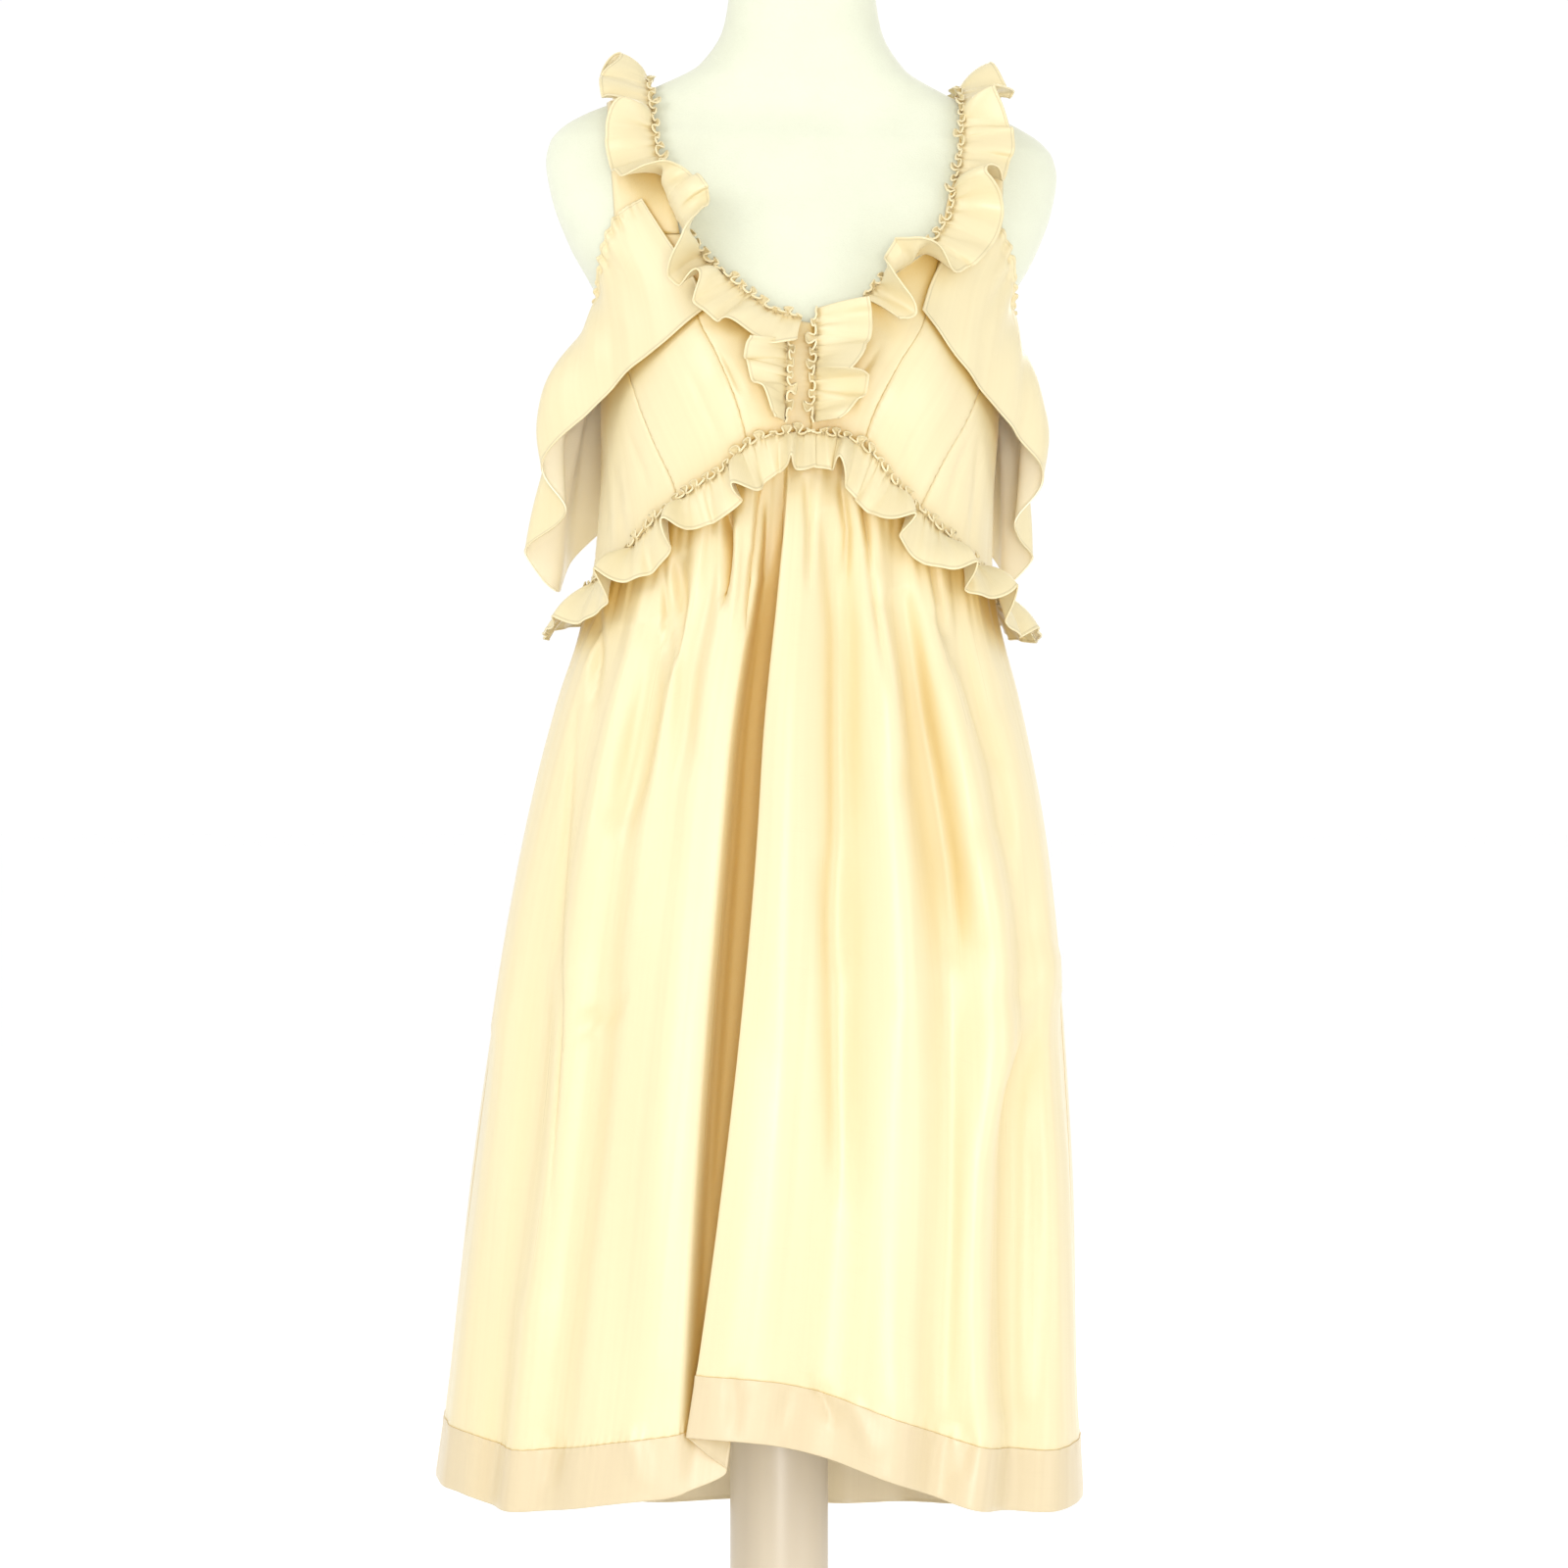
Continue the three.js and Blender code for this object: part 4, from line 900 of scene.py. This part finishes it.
def back_patch(u, v):
    angle = mix(90, 270, u)
    top = back_top("z", np.abs(180 - angle))
    return np.stack([angle, mix(under_bust(angle), top, v)], -1)


def seam_edges(u, v, wide, tall, level):
    """How far each point of a panel dips towards its sewn edges, in millimetres."""
    dip = np.zeros(np.broadcast(u, v).shape)
    sides = {"left": u * wide, "right": (1 - u) * wide, "bottom": v * tall, "top": (1 - v) * tall}
    for name, distance in sides.items():
        if name not in level:
            fade = ease(sides["top"], 4, 30) if name in ("left", "right") else 1.0
            dip = dip - 0.7 * fade * hill(distance, 1.6)
    return dip


def add_panel(node, patch, hand, nu, nv, flat, area, level=(), creases=()):
    """A panel of the bodice, with puckers along its sides and soft waves inside."""
    u, v = grid_of(np.linspace(0, 1, nu), np.linspace(0, 1, nv))
    across = u if hand > 0 else 1 - u
    at = patch(across, v)
    grid = lean(ring_point(dress_ring, hand * at[..., 0], at[..., 1]))
    wide = np.linalg.norm(np.diff(grid, axis=0), axis=2).sum(0).mean()
    tall = np.linalg.norm(np.diff(grid, axis=1), axis=2).sum(1).mean()
    to_side = np.minimum(across, 1 - across) * wide
    to_end = np.minimum(v, 1 - v) * tall
    seed = len(f"silk_{node}")
    pucker = hill(to_side, 5) * gathers(v * tall + 9 * across, 7.0, seed)
    wave = wander(v * tall + 0.6 * across * wide, 46.0, seed) * np.sin(np.pi * across) * np.sin(np.pi * v)
    grid = raised(grid, seam_edges(across, v, wide, tall, level) + 0.22 * pucker + 0.5 * wave)
    inside = ease(np.minimum(to_side, to_end), 2, 9)
    grid = mix(grid, pushed(grid, creases, "front"), inside[..., None])
    obj = cloth_mesh(node, grid, CLOTH / 2, SILK)


def add_bodice():
    for side, hand in HANDS.items():
        patches = front_patches(side, hand)
        for part, panel in FRONT_PANELS.items():
            add_panel(f"bodice_{part}_{side}", patches[part], hand, creases=BODICE_CREASES, **panel)
    add_panel("bodice_back", back_patch, 1, nu=130, nv=60, flat=(0.42, 0.28), area=0.0985)


# The straps
SHOULDER = {"from": 1340.0, "to": 1443.0, "halvings": 40}
STRAP_LENGTH = 260


def shoulder_top(x):
    """The height at which the form's shoulder lies as far out as x, found by halving."""
    low, high = np.full(np.shape(x), SHOULDER["from"]), np.full(np.shape(x), SHOULDER["to"])
    for _ in range(SHOULDER["halvings"]):
        z = (low + high) / 2
        inside = form_ring("half", z) > x
        low, high = np.where(inside, z, low), np.where(inside, high, z)
    return low


strap_edges = Table(["turn", "inner", "outer"], [
    [0, STRAP["base_inner"], STRAP["base_outer"]],
    [12, 97, 139], [30, 107, 141],
    [60, STRAP["inner"], STRAP["outer"]],
    [120, STRAP["inner"], STRAP["outer"]],
    [180, 105, 138],
])


def strap_surface(hand, u, v):
    """The form under a strap, by u from its inner to its outer edge and v from the front to the back."""
    turn = 180 * v
    x = mix(strap_edges("inner", turn), strap_edges("outer", turn), u)
    base = np.where(turn < 90, STRAP["front"], STRAP["back"])
    z = mix(base, shoulder_top(x), np.sin(np.radians(turn)))
    share = np.minimum(1, x / form_ring("half", z))
    deep = np.where(turn < 90, -form_ring("front", z), form_ring("back", z))
    return lean(np.stack([hand * x, deep * (1 - share**ROUNDNESS) ** (1 / ROUNDNESS), z], -1))


def add_strap(side, hand):
    u, v = grid_of(np.linspace(0, 1, 26), np.linspace(0, 1, 120))
    grid = strap_surface(hand, u if hand > 0 else 1 - u, v)
    edge = np.minimum(u, 1 - u) * (STRAP["outer"] - STRAP["inner"])
    # The turned edge is thin, with a faint ridge beside it, and the front end lies over the bodice's corner.
    amount = STRAP_LIFT - 0.5 * hill(edge, 1.4) + 0.25 * hill(edge - 3, 2)
    amount = amount + 0.5 * wander(v * STRAP_LENGTH + 12 * u, 40.0, 4 + hand) * np.sin(np.pi * u)
    amount = amount + 0.45 * ease(0.06 - v, 0, 0.06)
    obj = cloth_mesh(f"strap_{side}", raised(grid, amount), CLOTH / 2, SILK)


# Ruffles
FOLD_COLUMNS = ["at", "stand", "push", "width"]
NECK_FOLDS = {
    "left": Table(FOLD_COLUMNS, [
        [0, 24, 0, 0.6], [14, 18, 0, 0.85], [28, 34, 3, 0.95], [44, 16, 0, 1], [60, 26, 3, 1.05],
        [70, 62, 6, 0.8], [79, 28, -3, 0.95], [87, 30, 0, 1], [93, 84, 0, 1.05], [100, 122, 3, 1.15],
        [121, 138, 0, 1.35], [142, 126, 0, 1.15], [154, 80, 0, 0.95], [163, 34, -8, 1.05],
        [182, 22, -5, 1.1], [196, 30, 0, 1.08], [208, 62, 4, 1.0], [222, 24, 0, 1.05],
        [240, 34, 2, 1.05], [252, 70, 4, 0.95], [266, 26, 0, 1], [284, 40, 0, 1], [310, 66, 3, 1],
        [336, 28, 0, 1], [362, 64, -3, 1], [388, 26, 0, 1], [414, 60, 3, 1], [440, 26, 0, 1],
        [470, 58, 0, 1], [510, 30, 0, 1],
    ]),
    "right": Table(FOLD_COLUMNS, [
        [0, 28, 0, 1.1], [10, 24, 0, 1.2], [18, 60, -4, 1], [26, 112, 0, 0.85], [38, 126, 0, 0.95],
        [50, 78, 4, 0.9], [62, 30, 0, 1], [80, 24, 0, 1.1], [102, 28, 0, 1.15], [120, 68, 5, 1],
        [134, 34, -6, 1.05], [154, 24, 0, 1.1], [172, 32, 0, 1.05], [184, 66, 4, 1.0],
        [198, 26, 0, 1.1], [216, 36, 0, 1.05], [228, 68, 4, 0.95], [242, 28, 0, 1], [258, 36, 0, 1],
        [280, 66, -3, 1], [304, 28, 0, 1], [330, 62, 3, 1], [354, 26, 0, 1], [380, 66, -3, 1],
        [404, 28, 0, 1], [428, 58, 0, 1], [470, 30, 0, 1],
    ]),
}
CENTRE_FOLDS = {
    "left": Table(FOLD_COLUMNS, [
        [0, 60, 4, 0.5], [12, 46, 4, 0.62], [28, 30, 2, 0.85], [44, 24, 0, 0.98], [58, 40, -2, 1.02],
        [68, 30, 2, 1],
    ]),
    "right": Table(FOLD_COLUMNS, [
        [0, 52, 4, 0.8], [14, 30, 2, 1], [30, 24, 0, 1.12], [38, 52, 0, 1.1], [50, 26, 0, 1.05],
        [66, 20, 0, 1.12], [88, 36, 4, 1.1],
    ]),
}
WAIST_FOLDS = {
    "left": Table(FOLD_COLUMNS, [
        [0, 26, 0, 0.85], [10, 30, 3, 0.95], [16, 62, 4, 0.95], [28, 22, 0, 0.9], [44, 18, 0, 1],
        [54, 34, 3, 1.1], [62, 70, 6, 1.05], [72, 26, -2, 1], [90, 16, 0, 1], [106, 28, 0, 0.95],
        [114, 66, 4, 1.05], [124, 24, -2, 1.1], [142, 18, 0, 1.15], [158, 30, 3, 1.15],
        [168, 66, 4, 1.2], [180, 26, 0, 1.25], [200, 24, 0, 1.35], [214, 46, 0, 1.4],
        [230, 40, 0, 1.35],
    ]),
    "right": Table(FOLD_COLUMNS, [
        [0, 26, 0, 0.85], [12, 24, 0, 0.85], [22, 30, 0, 0.9], [28, 66, -4, 1], [38, 24, 0, 1.1],
        [56, 16, 0, 1.1], [74, 26, 0, 1.05], [84, 68, 6, 1], [94, 26, -2, 1.1], [112, 18, 0, 1.15],
        [126, 30, 0, 1.1], [138, 62, 4, 1.1], [148, 26, 0, 1.15], [162, 34, 0, 1.2], [172, 66, 3, 1.25],
        [184, 26, 0, 1.3], [204, 24, 0, 1.35], [216, 46, 0, 1.35], [230, 40, 0, 1.35],
    ]),
    "back": Table(FOLD_COLUMNS, [
        [0, 40, 0, 1.35], [24, 28, 0, 1], [52, 58, 3, 1], [82, 24, 0, 1], [112, 54, -3, 1],
        [140, 28, 0, 1], [170, 60, 2, 1], [200, 22, 0, 1], [228, 52, -3, 1], [258, 26, 0, 1],
        [288, 60, 3, 1], [318, 24, 0, 1], [350, 55, -2, 1.1], [400, 40, 0, 1.35],
    ]),
}


# The gathers of a ruffle from the stitching to its edge, in millimetres: how far apart they are, how high
# they stand and how far they swing sideways. The broad ones' height is the ruffle's own.
FINE = {"pitch": 6.4, "height": 1.25, "swing": 0.8}
MEDIUM = {"pitch": 15.0, "height": 1.7, "height_at_edge": 0.9, "swing": 1.2}
BROAD = {"pitch": 37.0, "swing_to_height": 0.85}
FRILL = {"pitch": 9.5, "height": 1.2, "flop": 3.2, "swing": 2.3}
RUFFLE_STEP = 0.72  # distance between the columns of a ruffle
RUFFLE_END = 9  # how far from a ruffle's ends its gathers fade


def fold_path(folds, place, w, share):
    """How far along the cloth and how far proud of it a ruffle's folds take each of its points."""
    stand = folds("stand", place)
    turned_over = ease(stand, 75, 115)
    curl = mix(1.45 - 0.9 * share, 0.55 + 0.85 * share, turned_over)
    slope = np.radians(stand * curl)
    step = np.diff(w, axis=1, prepend=w[:, :1]) * (w > 0) * folds("width", place)
    return np.cumsum(np.cos(slope) * step, axis=1), np.cumsum(np.sin(slope) * step, axis=1)


def ruffle(node, line, folds, width, header, hand, seed, held, fall=0.0, waves=3.0):
    """A strip gathered near one edge, with puckers at the stitching that run out into the larger folds."""
    breadth = rows_between(
        (-header, 0), (-header + 1.6, 3), (0, 3), (width * 0.3, 6), (width - 2.4, 8), (width, 5)
    )
    u, w = grid_of(np.linspace(0, 1, int(line.length / RUFFLE_STEP)), breadth)
    place = u * line.length
    share = np.clip(w / width, 0, 1)
    along, proud = fold_path(folds, place, w, share)
    fine = gather_phase(place, FINE["pitch"], seed)
    medium = gather_phase(place, MEDIUM["pitch"], seed + 4)
    broad = gather_phase(place, BROAD["pitch"], seed + 8)
    ends = away_from_ends(place, line.length, 0, RUFFLE_END)
    strength = ends * (0.75 + 0.45 * wander(place, 23.0, seed + 1))
    near = np.exp(-np.abs(w) / 4.5)
    midway = np.clip(w / 7, 0, 1) * np.exp(-np.maximum(w, 0) / (0.45 * width))
    far = ease(w, 0.15 * width, width)
    head = ease(-w, 0, header)
    # The frill above the stitching stands up and flops to either side in loops.
    loop = gather_phase(place, FRILL["pitch"], seed + 3)
    size = ends * (0.84 + 0.4 * wander(place, 24.0, seed + 6))
    along = along - head * size * (0.42 * header + FRILL["flop"] * np.sin(loop) + 0.8 * np.sin(fine))
    proud = proud + head * (0.62 * header + size * FRILL["height"] * np.cos(loop + 0.6))
    proud = proud + 0.5 + FINE["height"] * near * (1 - head) * np.sin(fine) * strength
    proud = proud + MEDIUM["height"] * midway * np.sin(medium) * strength
    proud = proud + ends * far * (waves * np.sin(broad) + MEDIUM["height_at_edge"] * np.sin(medium))
    side = folds("push", place) * share - FINE["swing"] * near * np.sin(2 * fine)
    side = side - ends * MEDIUM["swing"] * midway * np.sin(2 * medium)
    side = side - ends * BROAD["swing_to_height"] * waves * far * np.sin(2 * broad)
    side = side - FRILL["swing"] * head * size * np.sin(2 * loop + 0.5)
    point, way, out = (rows[:, None, :] for rows in line(u[:, 0]))
    flat = unit(mix(np.cross(way, out) * hand, np.array([0, 0, -1.0]), fall))
    grid = point + flat * along[..., None] + out * (RUFFLE_LIFT + proud)[..., None] + way * side[..., None]
    edge = np.minimum(width * (1 - share) * folds("width", place), w + header + 0.4)
    obj = cloth_mesh(node, grid, rolled(edge), EDGED_SILK, edge=edge, cut_along=place[:, 0] * FULLNESS)


def dress_line(angles, heights):
    """A seam on the dress through places by angle and height."""
    points, normals = on_dress(np.asarray(angles, float), np.asarray(heights, float))
    return Line(points, normals)


NECK_OUT = {"left": 3, "right": -2}  # how far the ruffle's line is moved out at the strap's foot
NECK_START = {"left": 9, "right": 34}  # how far from the centre seam the ruffle starts
CENTRE_SEAMS = {"left": {"top": 1200, "x": -19}, "right": {"top": 1222, "x": 1.5}}
# The lengths of the ruffle under the bust: their sign along X, first and last angle, seed.
WAIST_LENGTHS = {
    "left": (-1, 0.7, -89.9, 15),
    "right": (1, -0.7, 89.9, 18),
    "back": (1, 90.1, 269.9, 17),
}


def neck_line(side, hand):
    """A neck ruffle's seam: the neckline, the strap's inner edge over the shoulder, the back's neckline."""
    rows = [[x + NECK_OUT[side] * x / STRAP_CORNER[0], z] for x, z in LINES[side]["neckline"]]
    start = NECK_START[side]
    xs = np.array([start] + [x for x, _ in rows if x > start + 5])[:-1]
    heights = Table(["x", "z"], rows)("z", xs)
    front = on_dress(hand * angle_at(xs, heights), heights)
    v = np.array([0.04, 0.12, 0.2, 0.3, 0.4, 0.5, 0.6, 0.7, 0.8, 0.88, 0.95])
    u = np.full(v.shape, 0.02)
    step = 1e-3
    across = strap_surface(hand, u + step, v) - strap_surface(hand, u - step, v)
    onward = strap_surface(hand, u, v + step) - strap_surface(hand, u, v - step)
    normal = unit(np.cross(across, onward)) * hand
    strap = strap_surface(hand, u, v) + normal * STRAP_LIFT
    from_centre = np.array([28, 22, 15, 8, 1.0])
    back = on_dress(hand * (180 - from_centre), back_top("z", from_centre) - 2)
    return Line(np.concatenate([front[0], strap, back[0]]), np.concatenate([front[1], normal, back[1]]))


def add_neck_ruffles():
    for side, hand in HANDS.items():
        held = [f"silk_bodice_centre_{side}", f"silk_strap_{side}", "silk_bodice_back"]
        line, folds = neck_line(side, hand), NECK_FOLDS[side]
        ruffle(f"neck_ruffle_{side}", line, folds, hand=hand, seed=2 + hand, held=held, **NECK_RUFFLE)


def add_centre_ruffles():
    for side, hand in HANDS.items():
        seam = CENTRE_SEAMS[side]
        heights = np.linspace(float(under_bust(0)) + 6, seam["top"], 4)
        line = dress_line(angle_at(seam["x"] + 0 * heights, heights), heights)
        folds, held = CENTRE_FOLDS[side], [f"silk_bodice_centre_{side}"]
        ruffle(f"centre_ruffle_{side}", line, folds, hand=hand, seed=7 + hand, held=held, **CENTRE_RUFFLE)


def add_waist_ruffles():
    for side, (hand, start, end, seed) in WAIST_LENGTHS.items():
        angles = np.linspace(start, end, 13)
        line = dress_line(angles, under_bust(angles))
        folds, held = WAIST_FOLDS[side], ["silk_skirt_back" if side == "back" else "silk_skirt_front"]
        ruffle(f"waist_ruffle_{side}", line, folds, hand=hand, seed=seed, held=held, **WAIST_RUFFLE)


# Flounces
FLOUNCE_COLUMNS = ["fold", "angle", "z", "edge_angle", "edge_z", "out", "bow"]
FLOUNCE_FOLDS = {
    "left": Folds(FLOUNCE_COLUMNS, [
        ["inner front edge", 37, 1301, 26, 1224, 1, 0],
        ["front", 45, 1291, 41, 1198, 2, 2],
        ["front", 59, 1264, 55, 1178, 6, 4],
        ["front edge leaving", 72, 1241, 68, 1152, 18, 12],
        ["outermost fold", 81, 1222, 82, 1119, 42, 22],
        ["hollow", 88, 1207, 90, 1086, 22, 12],
        ["second fold", 95, 1204, 97, 1058, 50, 14],
        ["lowest tip", 104, 1212, 107, 1032, 30, 9],
        ["back fold", 112, 1228, 120, 1056, 42, 10],
        ["back", 121, 1252, 134, 1104, 16, 6],
        ["back", 129, 1274, 146, 1145, 5, 2],
        ["inner back edge", 137, 1290, 156, 1206, 1, 0],
    ]),
    "right": Folds(FLOUNCE_COLUMNS, [
        ["inner front edge", 34, 1304, 27, 1226, 1, 0],
        ["front", 45, 1291, 41, 1191, 2, 2],
        ["front", 59, 1264, 55, 1166, 6, 4],
        ["front edge leaving", 72, 1241, 68, 1144, 15, 9],
        ["outermost fold", 81, 1222, 82, 1112, 33, 15],
        ["hollow", 88, 1207, 90, 1080, 14, 8],
        ["second fold", 95, 1204, 97, 1056, 32, 10],
        ["lowest tip", 104, 1212, 107, 1036, 18, 6],
        ["back fold", 112, 1228, 120, 1060, 36, 9],
        ["back", 121, 1252, 134, 1108, 13, 5],
        ["back", 129, 1274, 146, 1148, 5, 2],
        ["inner back edge", 137, 1290, 156, 1206, 1, 0],
    ]),
}


# The seam's length, the cloth's, both in millimetres, the frill above the seam as a share of the drop, and
# the pitch of the gathers.
FLOUNCE = {"seam": 300, "cloth": 320, "frill": 0.04, "pitch": 8.5}


def add_flounce(side, hand):
    """A flounce, open at the front and the back, by u along its seam and down from the seam to its edge."""
    folds = FLOUNCE_FOLDS[side]
    u, down = grid_of(
        rows_between((0, 0), (0.006, 4), (0.994, 300), (1, 4)),
        rows_between((1, 0), (0.985, 5), (0.12, 30), (0, 14), (-FLOUNCE["frill"], 6)),
    )
    along = u if hand > 0 else 1 - u
    place = along * FLOUNCE["seam"]
    angle = mix(folds("angle", along), folds("edge_angle", along), down)
    z = mix(folds("z", along), folds("edge_z", along), down)
    below = np.maximum(down, 0)
    out = FLOUNCE_LIFT + folds("out", along) * below**1.15 + folds("bow", along) * np.sin(np.pi * below)
    # Tight gathers on both sides of the seam.
    seed = 6 + hand
    ends = away_from_ends(along, 1, 0.01, 0.1)
    gathered = np.exp(-np.abs(down) / 0.045) * ends
    frill = np.clip(-down / FLOUNCE["frill"], 0, 1) * ends
    phase = gather_phase(place, FLOUNCE["pitch"], seed)
    uneven = 0.7 + 0.7 * wander(place, 26.0, seed + 2)
    out = out + gathered * (0.7 + 1.7 * uneven * np.sin(phase))
    out = out + frill * (1.5 + 1.3 * uneven * np.sin(phase + 0.7))
    # Soft folds that fade below them, and slow waves towards the edge.
    soft = np.exp(-below / 0.45) * ease(down, 0, 0.06) * ease(along, 0.05, 0.2)
    out = out + 2.1 * soft * gathers(place + 30 * down, 21.0, seed + 3)
    out = out + 1.2 * ease(down, 0.4, 1) * wander(place, 34.0, seed + 5) + 0.6 * ease(down, 0, 0.1)
    z = z + (0.8 * gathered + 0.9 * wander(place, 9.0, seed) * frill) * uneven * np.sin(phase + 1.1)
    grid = lean(ring_point(dress_ring, hand * angle, z, out))
    length = np.linalg.norm(np.diff(grid, axis=1), axis=2).sum(1)[:, None]
    to_end = np.minimum(along, 1 - along) * FLOUNCE["cloth"]
    edge = np.minimum((1 - down) * length, (down + FLOUNCE["frill"]) * length)
    edge = np.minimum(edge, to_end + 0.2)
    obj = cloth_mesh(f"flounce_{side}", grid, rolled(edge), EDGED_SILK, edge=edge, painted_backlight=True)


# The form and its stand
FORM_FOOT, FORM_TOP = 700, 1492
FORM_SEGMENTS = 144
STAND_SEGMENTS = 128
# Radius and height, from the foot up. The base's upper edge is a quarter circle.
COLUMN_PROFILE = [(35.2, 14.4), (36, 15.4), (36, 200), (36, 698.5), (35, 699.6)]
BASE_RIM = [(185 - 5 * (1 - math.cos(t)), 9 + 5 * math.sin(t)) for t in np.linspace(0, math.pi / 2, 9)]
BASE_PROFILE = [(182, 0), (184.4, 0.8), (185, 2.4), *BASE_RIM, (46, 14), (38, 14)]


def add_form():
    heights = rows_between((FORM_FOOT, 0), (1260, 56), (1345, 20), (1420, 44), (FORM_TOP, 12))
    angle, z = np.meshgrid(np.arange(FORM_SEGMENTS) * 360 / FORM_SEGMENTS, heights)
    points = lean(ring_point(form_ring, angle, z)).reshape(-1, 3)
    centres = lean(np.array([[0, 0, FORM_FOOT], [0, 0, FORM_TOP]], float))
    faces = ring_faces(len(heights), FORM_SEGMENTS)
    low, high = len(points), len(points) + 1
    top_ring = len(points) - FORM_SEGMENTS
    for i in range(FORM_SEGMENTS):
        j = (i + 1) % FORM_SEGMENTS
        faces.append((j, i, low))
        faces.append((top_ring + i, top_ring + j, high))
    mesh = bpy.data.meshes.new("form_torso_cover")
    mesh.from_pydata((np.concatenate([points, centres]) * MM).tolist(), [], faces)
    mesh.polygons.foreach_set("use_smooth", [True] * len(mesh.polygons))
    new_piece(mesh, "form_torso", COVER)


def add_turned(name, node, profile, paint):
    """A turned piece on the stand's axis from rows of radius and height."""
    angles = np.arange(STAND_SEGMENTS) * 2 * np.pi / STAND_SEGMENTS
    points = [(r * math.cos(a) * MM, r * math.sin(a) * MM, z * MM) for r, z in profile for a in angles]
    top_ring = len(points) - STAND_SEGMENTS
    faces = ring_faces(len(profile), STAND_SEGMENTS)
    faces.append(tuple(range(STAND_SEGMENTS))[::-1])
    faces.append(tuple(range(top_ring, len(points))))
    mesh = bpy.data.meshes.new(name)
    mesh.from_pydata(points, [], faces)
    mesh.polygons.foreach_set("use_smooth", [len(p.vertices) == 4 for p in mesh.polygons])
    new_piece(mesh, node, paint)


def build():
    add_form()
    add_turned("stand_column", "form_column", COLUMN_PROFILE, COLUMN_PAINT)
    add_turned("stand_base", "form_base", BASE_PROFILE, BASE_PAINT)
    add_bodice()
    for side, hand in HANDS.items():
        add_strap(side, hand)
        add_flounce(side, hand)
    add_neck_ruffles()
    add_centre_ruffles()
    add_waist_ruffles()
    for side, skirt in SKIRTS.items():
        add_skirt(side, **skirt)


build()


# Studio
FLOOR_HALF = 60  # metres


def area_light(name, place, target, size, power):
    """A round white lamp that the camera doesn't see. Places and sizes are in metres."""
    data = bpy.data.lights.new(name, "AREA")
    data.shape = "DISK"
    data.size = size
    data.energy = power
    lamp = placed(name, data)
    lamp.location = place
    way = np.array(target) - np.array(place)
    lamp.rotation_mode = "QUATERNION"
    lamp.rotation_quaternion = Vector(way).to_track_quat("-Z", "Y")
    lamp.visible_camera = False


area_light("key", (-1.9, -2.0, 2.3), (0, 0, 0.9), 1.5, 21)
area_light("front", (0.3, -3.3, 0.8), (0, 0, 0.9), 0.9, 33)
area_light("fill", (2.3, -1.6, 0.8), (0, 0, 0.85), 1.2, 9)
area_light("back_fill", (0.6, 3.0, 2.4), (0, 0, 0.9), 2.4, 30)

world = bpy.data.worlds.new("studio")
bpy.context.scene.world = world
world.use_nodes = True
background = world.node_tree.nodes["Background"]
background.inputs["Color"].default_value = (1, 1, 1, 1)
background.inputs["Strength"].default_value = 1.02

floor_mesh = bpy.data.meshes.new("floor")
corners = [(x * FLOOR_HALF, y * FLOOR_HALF, 0) for x, y in ((-1, -1), (1, -1), (1, 1), (-1, 1))]
floor_mesh.from_pydata(corners, [], [(0, 1, 2, 3)])
floor = placed("floor", floor_mesh)
plain = Nodes("floor_plain")
plain.surface({"Base Color": (0.985, 0.985, 0.985, 1), "Roughness": 0.9})
floor_mesh.materials.append(plain.material)

camera_data = bpy.data.cameras.new("camera")
camera_data.sensor_width = 36
camera_data.angle = math.radians(CAMERA["view_degrees"])
camera = placed("camera", camera_data)
camera.location = (CAMERA["x"] * MM, -CAMERA["distance"] * MM, CAMERA["z"] * MM)
camera.rotation_euler = (math.pi / 2, 0, 0)
bpy.context.scene.camera = camera
bpy.context.scene.view_settings.view_transform = "Standard"
bpy.context.scene.view_settings.exposure = 0.0
